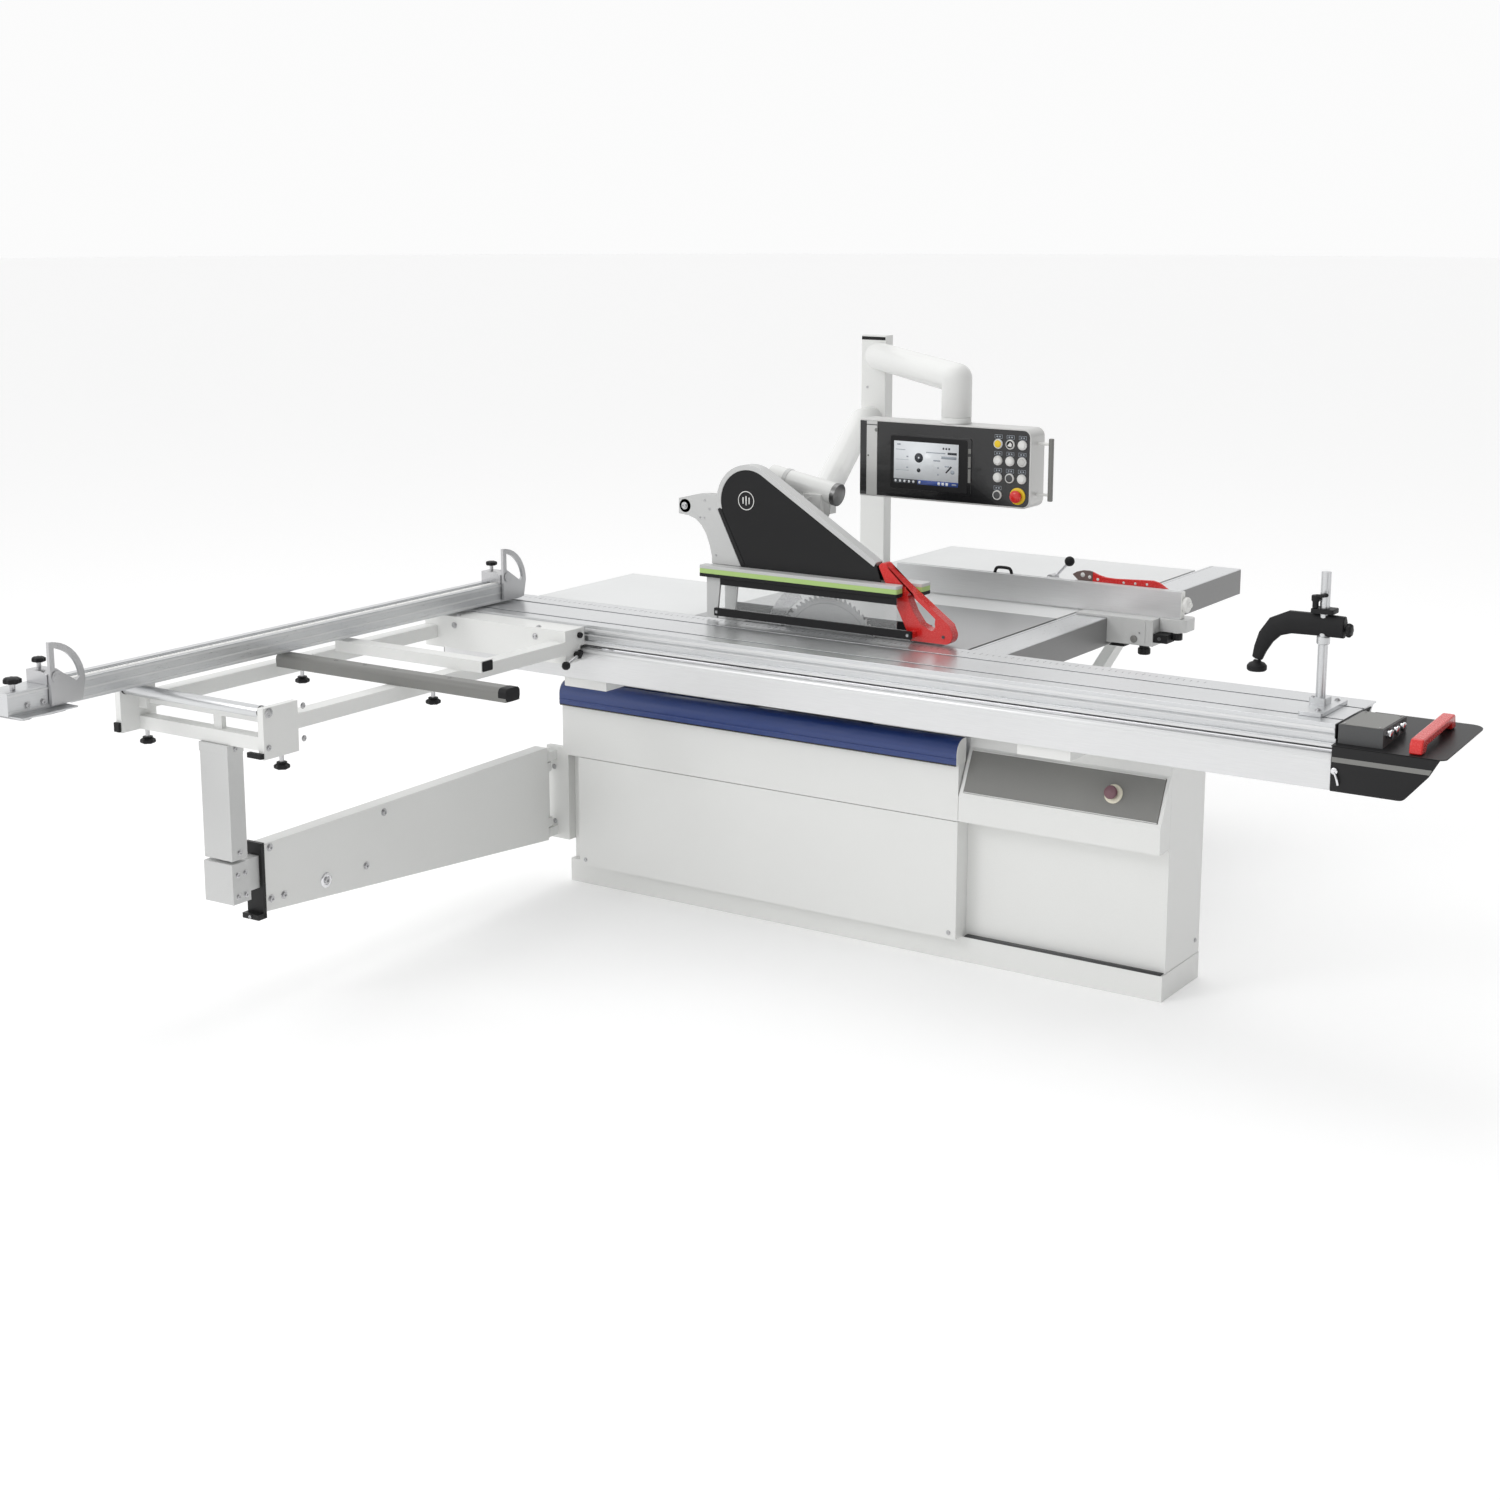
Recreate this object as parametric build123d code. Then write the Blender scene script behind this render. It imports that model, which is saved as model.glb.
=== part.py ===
from build123d import *
import math
import os

# Panel saw with sliding carriage, outrigger, overhead guard and eye-level control panel.
# The model is drawn in machine coordinates: X = 0 at the left end of the plinth, Y = 0 at the
# plinth's front face, Z = 0 on the floor. X runs towards the operator's end of the carriage and
# Y away from the outrigger. save() moves everything so that the origin is the centre of the
# base's footprint on the floor. Lengths are in millimetres.

# ---- overall sizes ----
BASE_LENGTH = 2056.0
BASE_DEPTH = 720.0
TABLE_HEIGHT = 900.0
CARRIAGE_LENGTH = 2900.0
CARRIAGE_RIGHT = 2578.0
CARRIAGE_FRONT = -204.0
CARRIAGE_BACK = 104.0
SIDE_TABLE_BACK = 1750.0
BLADE_RADIUS = 175.0
BLADE_PROJECTION = 110.0

# ---- sheet, wall and clearance values ----
SHEET = 4.0
GAP = 0.5
SLIDE_GAP = 1.0
PIN_CLEARANCE = 0.05

# ---- base ----
FRONT_BODY_DEPTH = 256.0
BODY_INSET = 23.0
PLINTH_HEIGHT = 76.0
BODY_TOP = 676.0
REAR_X0 = 417.0
REAR_X1 = 1375.0
REAR_TOP = 800.0
COVER_RIGHT = 1432.0
COVER_FRONT = -40.0
COVER_SEAM = 430.0
CAP_BOTTOM = 597.0
CAP_TOP = 670.0
NOTCH_X = (690.0, 1130.0)
NOTCH_BOTTOM = 640.0
SPIGOT_RADIUS = 60.0
SPIGOT_LENGTH = 60.0
CONTROL_CENTRE = (-12.5, 575.0)
CONTROL_TURN = Rot(65, 0, 0)
CONTROL_WIDTH = 596.0
CONTROL_RISE = 128.0
BUTTON_SPOT_X = 1900.0

# ---- tables ----
TABLE_THICKNESS = 38.0
TABLE_FRONT = 108.0
SLOT_BACK = 124.0
SLOT_X0 = 600.0
SLOT_X1 = 1290.0
MAIN_TABLE_BACK = 680.0
OUTFEED_X0 = -201.0
OUTFEED_BACK = 620.0
RAIL_X0 = 1380.0
RAIL_WIDTH = 114.0
RAIL_TOP = 898.0
RAIL_HEIGHT = 88.0
RAIL_LENGTH = 1760.0
WALL = 5.0

# ---- slide beam and carriage ----
BEAM_FRONT = -221.0
BEAM_WIDTH = 150.0
BEAM_BOTTOM = 733.0
BEAM_TOP = 828.0
CARRIAGE_THICKNESS = 62.0
SLOT_Y = (-148.0, 3.0)
SLOT_WIDTH = 12.0

# ---- saw unit ----
BLADE_X = 899.0
BLADE_Y = 116.0
BLADE_THICKNESS = 3.2
TOOTH_COUNT = 60
TRUNNION_RADIUS = 195.0
TRUNNION_WIDTH = 25.0
TRUNNION_X = (545.0, 1245.0)
TRUNNION_THICKNESS = 15.0
ARBOR_RADIUS = 15.0
HOUSING_RADIUS = 24.0
SCORING_X = 1180.0
SCORING_RADIUS = 60.0
SCORING_DEPTH = 3.0
SCORING_SHAFT = 8.0
MOTOR_X = 1090.0
MOTOR_Z = 770.0
MOTOR_RADIUS = 72.0
GUIDE_RADIUS = 10.0
GUIDE_X = (770.0, 1060.0)

# ---- outrigger and swing arm ----
ARM_HINGE = (-62.0, -44.0)
POST_X = -22.0
POST_Y = -1467.0
ARM_THICKNESS = 50.0
ARM_TOP = 450.0
ARM_BOTTOM_IN = 144.0
ARM_BOTTOM_OUT = 258.0
ARM_START = 22.0
ARM_LENGTH = 1310.0
POST_WIDTH = 104.0
POST_DEPTH = 56.0
POST_BOTTOM = 440.0
FRAME_TOP = 860.0
FRAME_BAR = 40.0
FRAME_X0 = -330.0
FRAME_X1 = 226.0
ROLLER_TUBE_RADIUS = 16.0
ROLLER_Y = -1532.0
ROLLER_Z = 882.0

# ---- crosscut fence ----
FENCE_FRONT_X = -208.0
FENCE_WIDTH = 84.0
FENCE_BOTTOM = 905.0
FENCE_HEIGHT = 60.0
FENCE_Y0 = -25.0
FENCE_Y1 = -1800.0

# ---- rip fence ----
RIP_Y = 845.0
RIP_THICKNESS = 26.0
RIP_X0 = 711.0
RIP_X1 = 1711.0
RIP_HEIGHT = 85.0

# ---- guard ----
GUARD_PIVOT = (385.0, 1240.0)
HOOD_Y0 = 98.0
HOOD_Y1 = 138.0
SKIRT_Y0 = 64.0
SKIRT_Y1 = 194.0
HOOD_WALL = 3.0
BAR_Y0 = 60.0
BAR_Y1 = 190.0
TUBE_RADIUS = 44.0

# ---- column and control panel ----
COLUMN_X = 350.0
COLUMN_Y = 1315.0
COLUMN_WIDTH = 100.0
COLUMN_DEPTH = 50.0
COLUMN_TOP = 1692.0
BOOM_RADIUS = 47.0
BOOM_Z = 1622.0
DROP_X = 1031.0
DROP_Y = 646.0
PANEL_X0 = 713.0
PANEL_X1 = 1314.0
PANEL_Z0 = 1241.0
PANEL_Z1 = 1484.0
PANEL_FRONT = 602.0
PANEL_DEPTH = 88.0
BUTTON_RADIUS = 11.0
BUTTON_X = (1203.0, 1244.0, 1285.0)
BUTTON_Z = (1435.0, 1384.0, 1332.0, 1278.0)

OUT = "parts"


def block(x0, x1, y0, y1, z0, z1):
    """A rectangular solid between two corners."""
    centre = ((x0 + x1) / 2, (y0 + y1) / 2, (z0 + z1) / 2)
    return Pos(*centre) * Box(abs(x1 - x0), abs(y1 - y0), abs(z1 - z0))


def tube_between(start, end, radius, bore=0.0):
    """A round bar or tube from one point to another."""
    a, b = Vector(*start), Vector(*end)
    plane = Plane(origin=(a + b) * 0.5, z_dir=(b - a))
    solid = plane * Cylinder(radius, (b - a).length)
    if bore > 0:
        solid -= plane * Cylinder(bore, (b - a).length + 2)
    return solid


def profile_x(points, x0, x1):
    """Extrudes a closed Y-Z outline along X."""
    wire = Polyline(*[(x0, y, z) for y, z in points], close=True)
    return extrude(make_face(wire), amount=x1 - x0, dir=(1, 0, 0))


def profile_y(points, y0, y1):
    """Extrudes a closed X-Z outline along Y."""
    wire = Polyline(*[(x, y0, z) for x, z in points], close=True)
    return extrude(make_face(wire), amount=y1 - y0, dir=(0, 1, 0))


def rounded(solid, axis, radius):
    """Rounds the edges of a block that run along one axis."""
    return fillet(solid.edges().filter_by(axis), radius)


def save(name, *solids):
    """Writes one node, moved into the model's own frame."""
    shift = Pos(-BASE_LENGTH / 2, -BASE_DEPTH / 2, 0)
    bodies = [s for shape in solids for s in shape.solids()]
    moved = [shift * s for s in bodies]
    part = moved[0] if len(moved) == 1 else Compound(children=moved)
    export_step(part, os.path.join(OUT, name + ".step"))


os.makedirs("parts", exist_ok=True)


# ---------------------------------------------------------------- base
def base_frame():
    """Hollow welded body on a plinth, open under the saw unit and notched in front for its tilt."""
    body = block(2, BASE_LENGTH - 2, BODY_INSET, FRONT_BODY_DEPTH, 10, BODY_TOP)
    body += block(REAR_X0, REAR_X1, FRONT_BODY_DEPTH - 40, BASE_DEPTH, 10, REAR_TOP)
    body += block(0, BASE_LENGTH, 0, FRONT_BODY_DEPTH, 0, PLINTH_HEIGHT)
    body += block(REAR_X0, REAR_X1, FRONT_BODY_DEPTH - 10, BASE_DEPTH, 0, PLINTH_HEIGHT)
    inner = block(2 + SHEET, BASE_LENGTH - 2 - SHEET, BODY_INSET + SHEET, FRONT_BODY_DEPTH - SHEET,
                  SHEET, BODY_TOP - SHEET)
    inner += block(REAR_X0 + SHEET, REAR_X1 - SHEET, FRONT_BODY_DEPTH - 60, BASE_DEPTH - SHEET, SHEET,
                   REAR_TOP + 10)
    body -= inner
    opening_x = (TRUNNION_X[0], TRUNNION_X[1] + TRUNNION_THICKNESS)
    body -= block(*opening_x, BODY_INSET + SHEET, FRONT_BODY_DEPTH, BODY_TOP - 20, REAR_TOP + 10)
    for x in TRUNNION_X:
        saddle = block(x, x + TRUNNION_THICKNESS, BODY_INSET + SHEET, FRONT_BODY_DEPTH - SHEET, 560, 760)
        saddle -= Pos(x, BLADE_Y, TABLE_HEIGHT) * Rot(0, 90, 0) * Cylinder(TRUNNION_RADIUS + GAP, 100)
        body += saddle
    for x in (REAR_X0, REAR_X1 - 60):
        for y in (FRONT_BODY_DEPTH + 40, MAIN_TABLE_BACK - 70):
            body += block(x, x + 60, y, y + 60, REAR_TOP - 60, TABLE_HEIGHT - TABLE_THICKNESS)
    for x in (150, 1700):
        body += block(x, x + 160, BODY_INSET, 120, BODY_TOP - SHEET, BODY_TOP + 30)
        body += block(x, x + 160, BEAM_FRONT + 12, 120, BODY_TOP + 26, BEAM_BOTTOM)
    body += block(20, COVER_RIGHT, -8, BODY_INSET + 2, BODY_TOP - 4, BODY_TOP)
    body -= block(*NOTCH_X, -10, BODY_INSET + SHEET + 1, NOTCH_BOTTOM, BODY_TOP + 1)
    spigot_x = REAR_X1 - 200
    body += tube_between((spigot_x, BASE_DEPTH - 2, 300), (spigot_x, BASE_DEPTH + SPIGOT_LENGTH, 300),
                         SPIGOT_RADIUS)
    body -= tube_between((spigot_x, BASE_DEPTH - 20, 300), (spigot_x, BASE_DEPTH + SPIGOT_LENGTH + 5, 300),
                         SPIGOT_RADIUS - 3)
    return body


def lower_front_cover():
    """Removable sheet cover under the seam, folded back at its edges."""
    x0, x1 = 66.0, COVER_RIGHT
    cover = block(x0, x1, COVER_FRONT, BODY_INSET - GAP, PLINTH_HEIGHT, COVER_SEAM - 2)
    cover -= block(x0 + 3, x1 - 3, COVER_FRONT + 3, BODY_INSET + 5, PLINTH_HEIGHT + 3, COVER_SEAM - 5)
    return cover


def upper_front_cover():
    """Hinged sheet cover above the seam that gives access to the blade."""
    cover = block(6, COVER_RIGHT, COVER_FRONT, 0, COVER_SEAM, CAP_BOTTOM)
    cover -= block(9, COVER_RIGHT - 3, COVER_FRONT + 3, 5, COVER_SEAM + 3, CAP_BOTTOM - 3)
    return cover


def blue_cap():
    """Rounded cap rail along the top of the upper cover."""
    cap = block(6, COVER_RIGHT, COVER_FRONT - 14, 0, CAP_BOTTOM, CAP_TOP)
    front_edges = cap.edges().filter_by(Axis.X).sort_by(Axis.Y)[:2]
    top_front = front_edges.sort_by(Axis.Z)[-1:]
    cap = fillet(top_front, 40)
    return cap


def control_section():
    """The Y-Z outline of the slanted control housing."""
    return [(COVER_FRONT - 5, 433), (COVER_FRONT - 5, 505), (18, 640), (BODY_INSET - 1, 668),
            (BODY_INSET - 1, 433)]


def control_housing():
    """White sheet housing at the right with a slanted opening for the control plate."""
    x0, x1 = COVER_RIGHT + 4, BASE_LENGTH - 2
    housing = profile_x(control_section(), x0, x1)
    inner = [(COVER_FRONT - 2, 436), (COVER_FRONT - 2, 504), (17, 632), (BODY_INSET + 2, 660),
             (BODY_INSET + 2, 436)]
    housing -= profile_x(inner, x0 + 3, x1 - 3)
    plate_hole = Pos((x0 + x1) / 2, *CONTROL_CENTRE) * CONTROL_TURN * Box(CONTROL_WIDTH, CONTROL_RISE, 30)
    return housing - plate_hole


def control_plate():
    """Grey plate set in the slanted face, with a hole for the push-button."""
    x = (COVER_RIGHT + 4 + BASE_LENGTH - 2) / 2
    plate = Pos(x, *CONTROL_CENTRE) * CONTROL_TURN * Box(CONTROL_WIDTH - 2, CONTROL_RISE - 2, 4)
    hole = Pos(BUTTON_SPOT_X, *CONTROL_CENTRE) * CONTROL_TURN * Cylinder(BUTTON_RADIUS + 1, 30)
    return plate - hole


def main_button():
    """Mushroom push-button of the control plate."""
    place = Pos(BUTTON_SPOT_X, *CONTROL_CENTRE) * CONTROL_TURN
    return place * (Pos(0, 0, 6) * Cylinder(BUTTON_RADIUS, 36) + Pos(0, 0, 26) * Cylinder(19, 14))


def arm_hinge_bracket():
    """Plate with two knuckles and the pin that carries the swing arm."""
    hx, hy = ARM_HINGE
    plate = block(hx - 24, 0, BODY_INSET - 32, BODY_INSET - 12, 138, 442)
    plate += block(-16, 2, BODY_INSET - 32, BODY_INSET + 60, 138, 442)
    for z0 in (150, 400):
        lug = block(hx - 18, hx + 18, hy, BODY_INSET - 20, z0, z0 + 30)
        lug += Pos(hx, hy, z0 + 15) * Cylinder(18, 30)
        plate += lug
    plate += Pos(hx, hy, 290) * Cylinder(10, 290)
    return plate


def slide_beam():
    """Hollow aluminium guide beam under the carriage."""
    x0 = CARRIAGE_RIGHT - CARRIAGE_LENGTH
    y1 = BEAM_FRONT + BEAM_WIDTH
    beam = block(x0, CARRIAGE_RIGHT, BEAM_FRONT, y1, BEAM_BOTTOM, BEAM_TOP)
    beam = fillet(beam.edges().filter_by(Axis.X).sort_by(Axis.Y)[:2].sort_by(Axis.Z)[-1:], 14)
    cavity = block(x0 - 5, CARRIAGE_RIGHT + 5, BEAM_FRONT + 8, y1 - 8, BEAM_BOTTOM + 8, BEAM_TOP - 12)
    return beam - cavity


def main_table():
    """Ground cast-iron table with a stepped edge beside the blade."""
    z0 = TABLE_HEIGHT - TABLE_THICKNESS
    table = block(REAR_X0, REAR_X1, TABLE_FRONT, MAIN_TABLE_BACK, z0, TABLE_HEIGHT)
    table -= block(SLOT_X0, SLOT_X1, TABLE_FRONT - 5, SLOT_BACK, z0 - 5, TABLE_HEIGHT + 5)
    for i in range(4):
        x = 640 + 160 * i
        table += block(x, x + 14, 420, MAIN_TABLE_BACK - 10, z0 - 26, z0 + 2)
    return table


def sheet_table(x0, x1, y0, y1):
    """Folded sheet table top with a rim and stiffening ribs."""
    z0 = TABLE_HEIGHT - TABLE_THICKNESS
    table = block(x0, x1, y0, y1, z0, TABLE_HEIGHT)
    table -= block(x0 + SHEET, x1 - SHEET, y0 + SHEET, y1 - SHEET, z0 - 1, TABLE_HEIGHT - SHEET)
    count = max(2, int((y1 - y0) / 300))
    for i in range(1, count):
        y = y0 + (y1 - y0) * i / count
        table += block(x0 + 2, x1 - 2, y - 10, y + 10, z0 + 6, TABLE_HEIGHT - 2)
    return table


def table_supports():
    """Struts of the side table and the spacers that carry the rip rail."""
    z0 = TABLE_HEIGHT - TABLE_THICKNESS
    solids = []
    for x in (REAR_X0 + 80, REAR_X1 - 120):
        foot_y, head_y = BASE_DEPTH + 2, SIDE_TABLE_BACK - 120
        outline = [(foot_y, 330), (foot_y, 390), (head_y - 30, z0 + 0), (head_y + 40, z0)]
        solids.append(profile_x(outline, x, x + 40) + block(x - 20, x + 60, BASE_DEPTH, foot_y + 6, 310, 410))
    for y in (300, 640, 1100, 1600):
        solids.append(block(REAR_X1, RAIL_X0, y, y + 60, z0 + 4, TABLE_HEIGHT - 14))
    return solids


def rip_rail():
    """Square aluminium rail that the rip fence runs on."""
    y0 = TABLE_FRONT + 2
    x1, y1 = RAIL_X0 + RAIL_WIDTH, y0 + RAIL_LENGTH
    rail = block(RAIL_X0, x1, y0, y1, RAIL_TOP - RAIL_HEIGHT, RAIL_TOP)
    rail -= block(RAIL_X0 + WALL, x1 - WALL, y0 + WALL, y1 - WALL, RAIL_TOP - RAIL_HEIGHT + WALL,
                  RAIL_TOP - WALL)
    return rail


def column():
    """Rectangular post with a foot plate and a bracket to the side table."""
    x0, y0 = COLUMN_X - COLUMN_WIDTH / 2, COLUMN_Y - COLUMN_DEPTH / 2
    post = block(x0, x0 + COLUMN_WIDTH, y0, y0 + COLUMN_DEPTH, 0, COLUMN_TOP)
    post = rounded(post, Axis.Z, 5)
    post += block(COLUMN_X - 130, COLUMN_X + 130, COLUMN_Y - 110, COLUMN_Y + 110, 0, 12)
    post += block(x0 + COLUMN_WIDTH - 2, REAR_X0 + 1, COLUMN_Y - 20, COLUMN_Y + 20, TABLE_HEIGHT - 32,
                  TABLE_HEIGHT - 5)
    return post


save("base_frame", base_frame())
save("lower_front_cover", lower_front_cover())
save("upper_front_cover", upper_front_cover())
save("blue_cap", blue_cap())
save("control_housing", control_housing())
save("control_plate", control_plate())
save("main_button", main_button())
save("arm_hinge_bracket", arm_hinge_bracket())
save("slide_beam", slide_beam())
save("main_table", main_table())
save("outfeed_table", sheet_table(OUTFEED_X0, REAR_X0, TABLE_FRONT, OUTFEED_BACK))
save("side_table", sheet_table(REAR_X0 + 1, REAR_X1, MAIN_TABLE_BACK + 2, SIDE_TABLE_BACK))
save("table_supports", *table_supports())
save("rip_rail", rip_rail())
save("column", column())


# ---------------------------------------------------------------- swing arm
ARM_ANGLE = math.degrees(math.atan2(POST_X - ARM_HINGE[0], ARM_HINGE[1] - POST_Y))
ARM_REACH = math.hypot(POST_X - ARM_HINGE[0], ARM_HINGE[1] - POST_Y)
TUBE_HALF = 18.0
TUBE_Z0 = 330.0
TUBE_Z1 = 420.0
ARM_WALL = 5.0


def on_arm(solid):
    """Turns a solid drawn along -Y from the hinge into the arm's resting direction."""
    return Pos(*ARM_HINGE, 0) * Rot(0, 0, ARM_ANGLE) * solid


def swing_arm():
    """Tapered hollow arm with two knuckles that turn on the bracket's pin."""
    half, y0, y1 = ARM_THICKNESS / 2, -ARM_START, -ARM_LENGTH
    arm = profile_x([(y0, ARM_BOTTOM_IN), (y0, ARM_TOP), (y1, ARM_TOP), (y1, ARM_BOTTOM_OUT)], -half, half)
    w = ARM_WALL
    arm -= profile_x([(y0 - w, ARM_BOTTOM_IN + w), (y0 - w, ARM_TOP - w), (y1 - w, ARM_TOP - w),
                      (y1 - w, ARM_BOTTOM_OUT + w)], -half + w, half - w)
    for z0 in (184, 366):
        arm += block(-18, 18, y0 - 8, 0, z0, z0 + 30) + Pos(0, 0, z0 + 15) * Cylinder(18, 30)
        arm -= Pos(0, 0, z0 + 15) * Cylinder(10 + PIN_CLEARANCE, 40)
    return on_arm(arm)


def arm_end_plate():
    """End plate with a window for the telescopic tube."""
    y = -ARM_LENGTH
    plate = block(-30, 30, y - 12, y, ARM_BOTTOM_OUT - 12, ARM_TOP + 6)
    plate += block(-30, 30, y - 34, y, ARM_BOTTOM_OUT - 16, ARM_BOTTOM_OUT)
    plate -= block(-TUBE_HALF - 1, TUBE_HALF + 1, y - 20, y + 5, TUBE_Z0 - 1, TUBE_Z1 + 1)
    return on_arm(plate)


def arm_extension():
    """Telescopic tube with the bearing block that the post stands over."""
    tube = block(-TUBE_HALF, TUBE_HALF, -ARM_REACH + 30, -700, TUBE_Z0, TUBE_Z1)
    tube -= block(-TUBE_HALF + 4, TUBE_HALF - 4, -ARM_REACH + 60, -690, TUBE_Z0 + 4, TUBE_Z1 - 4)
    head = block(-52, 52, -ARM_REACH - 32, -ARM_REACH + 34, TUBE_Z0 - 10, TUBE_Z1 + 12)
    head += Pos(0, -ARM_REACH, TUBE_Z1 + 14) * Cylinder(12, 8)
    return on_arm(tube + head)


# ---------------------------------------------------------------- carriage
CARRIAGE_BOTTOM = TABLE_HEIGHT - CARRIAGE_THICKNESS


def carriage_profile():
    """Sliding table extrusion with T-slots, side grooves and a bevelled edge beside the blade."""
    x0, x1 = CARRIAGE_RIGHT - CARRIAGE_LENGTH, CARRIAGE_RIGHT
    t, b = TABLE_HEIGHT, CARRIAGE_BOTTOM
    outline = [(CARRIAGE_BACK, t), (CARRIAGE_BACK - 4, t - 4), (CARRIAGE_BACK - 24, t - 4),
               (CARRIAGE_BACK - 24 - (t - 4 - b), b), (CARRIAGE_FRONT, b), (CARRIAGE_FRONT, t)]
    solid = profile_x(outline, x0, x1)
    for y in SLOT_Y:
        solid -= block(x0 - 5, x1 + 5, y - SLOT_WIDTH / 2, y + SLOT_WIDTH / 2, t - 20, t + 5)
        solid -= block(x0 - 5, x1 + 5, y - SLOT_WIDTH, y + SLOT_WIDTH, t - 20, t - 10)
    solid -= block(x0 - 5, x1 + 5, CARRIAGE_FRONT - 5, CARRIAGE_FRONT + 10, t - 50, t - 24)
    for y0, y1 in ((CARRIAGE_FRONT + 18, CARRIAGE_FRONT + 36), (SLOT_Y[0] + 24, SLOT_Y[1] - 22)):
        solid -= block(x0 - 5, x1 + 5, y0, y1, b + 8, t - 26)
    return solid


TRAY_FRONT = BEAM_FRONT - 5
TRAY_BACK = CARRIAGE_BACK - 4
TRAY_Z0 = 850.0
TRAY_RISE = 22.0
TRAY_LENGTH = 287.0


def tray_height(y):
    """Height of the tray's upper face at a given distance across the carriage."""
    return TRAY_Z0 + (y - TRAY_FRONT) * TRAY_RISE / (TRAY_BACK - TRAY_FRONT)


def end_tray():
    """Folded sheet tray: a sloping top plate and a tapered front skirt."""
    x0, x1 = CARRIAGE_RIGHT, CARRIAGE_RIGHT + TRAY_LENGTH
    y0, y1 = TRAY_FRONT, TRAY_BACK
    plate = profile_x([(y0, TRAY_Z0 - 3), (y0, TRAY_Z0), (y1, tray_height(y1)), (y1, tray_height(y1) - 3)],
                      x0, x1)
    skirt = profile_y([(x0 + 2, TRAY_Z0 - 1), (x1 - 7, TRAY_Z0 - 1), (x1 - 38, 803), (x1 - 88, BEAM_BOTTOM),
                       (x0 + 2, BEAM_BOTTOM)], y0, y0 + 3)
    flange = block(x0, x0 + 3, CARRIAGE_FRONT + 10, y1 - 60, TRAY_Z0 - 6, TRAY_Z0 + 6)
    return plate + skirt + flange


def push_handle():
    """Bridge handle across the tray."""
    x0 = CARRIAGE_RIGHT + 190
    y0, y1 = -215.0, 55.0
    base0, base1 = tray_height(y0) + 0.2, tray_height(y1) + 0.2
    outer = [(y0, base0), (y0 + 12, base0 + 38), (y1 - 12, base1 + 38), (y1, base1)]
    inner = [(y0 + 30, base0 - 5), (y0 + 40, base0 + 18), (y1 - 40, base1 + 16), (y1 - 30, base1 - 5)]
    return profile_x(outer, x0, x0 + 34) - profile_x(inner, x0 - 5, x0 + 40)


BOX_X1 = CARRIAGE_RIGHT + 122
BOX_BUTTON_Y = (-172.0, -124.0, -76.0)
BOX_BUTTON_Z = 884.0


def button_box():
    """Control box on the tray with three push-button holes in its end."""
    y0, y1 = CARRIAGE_FRONT + 1, -27.0
    box = profile_x([(y0, tray_height(y0) + 0.3), (y1, tray_height(y1) + 0.3), (y1, TABLE_HEIGHT),
                     (y0, TABLE_HEIGHT)], CARRIAGE_RIGHT + 8, BOX_X1)
    for y in BOX_BUTTON_Y:
        box -= Pos(BOX_X1, y, BOX_BUTTON_Z) * Rot(0, 90, 0) * Cylinder(BUTTON_RADIUS - 0.5, 60)
    return box


def box_buttons():
    """Three push-buttons in the end of the button box."""
    shape = Rot(0, 90, 0) * Cylinder(BUTTON_RADIUS - 1, 30)
    return [Pos(BOX_X1 - 3, y, BOX_BUTTON_Z) * shape for y in BOX_BUTTON_Y]


# ---------------------------------------------------------------- hold-down clamp
CLAMP_X = 2481.0
CLAMP_Y = -48.0
CLAMP_RADIUS = 12.8
CLAMP_TOP = 1253.0
PAD_X = 2307.0


def clamp_post():
    """Foot plate over the T-slots with a round post."""
    foot = block(CLAMP_X - 16, CLAMP_X + 46, SLOT_Y[0] - 14, SLOT_Y[1] + 28, TABLE_HEIGHT + GAP, 912)
    foot += block(CLAMP_X - 22, CLAMP_X + 22, CLAMP_Y - 24, CLAMP_Y + 24, TABLE_HEIGHT + GAP, 930)
    return foot + Pos(CLAMP_X, CLAMP_Y, (905 + CLAMP_TOP) / 2) * Cylinder(CLAMP_RADIUS, CLAMP_TOP - 905)


def clamp_arm():
    """Curved arm that slides on the post and carries the pad spindle."""
    outline = [(CLAMP_X + 56, 1084), (CLAMP_X + 56, 1144), (CLAMP_X - 90, 1150), (CLAMP_X - 140, 1128),
               (CLAMP_X - 176, 1080), (CLAMP_X - 190, 1008), (CLAMP_X - 158, 1008), (CLAMP_X - 146, 1050),
               (CLAMP_X - 122, 1078), (CLAMP_X - 90, 1084)]
    arm = profile_y(outline, CLAMP_Y - 20, CLAMP_Y + 20)
    arm += Pos(CLAMP_X, CLAMP_Y, 1112) * Cylinder(28, 96)
    arm -= Pos(CLAMP_X, CLAMP_Y, 1112) * Cylinder(CLAMP_RADIUS + PIN_CLEARANCE, 120)
    arm -= Pos(PAD_X, CLAMP_Y, 1030) * Cylinder(6 + PIN_CLEARANCE, 60)
    return arm


def clamp_pad():
    """Round pad on its spindle."""
    return Pos(PAD_X, CLAMP_Y, 985) * Cylinder(26, 18) + Pos(PAD_X, CLAMP_Y, 1012) * Cylinder(6, 44)


# ---------------------------------------------------------------- outrigger
LOWER_CROSS_TOP = 797.0
LOWER_CROSS_BOTTOM = 760.0
DECK_TOP = 893.0


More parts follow.
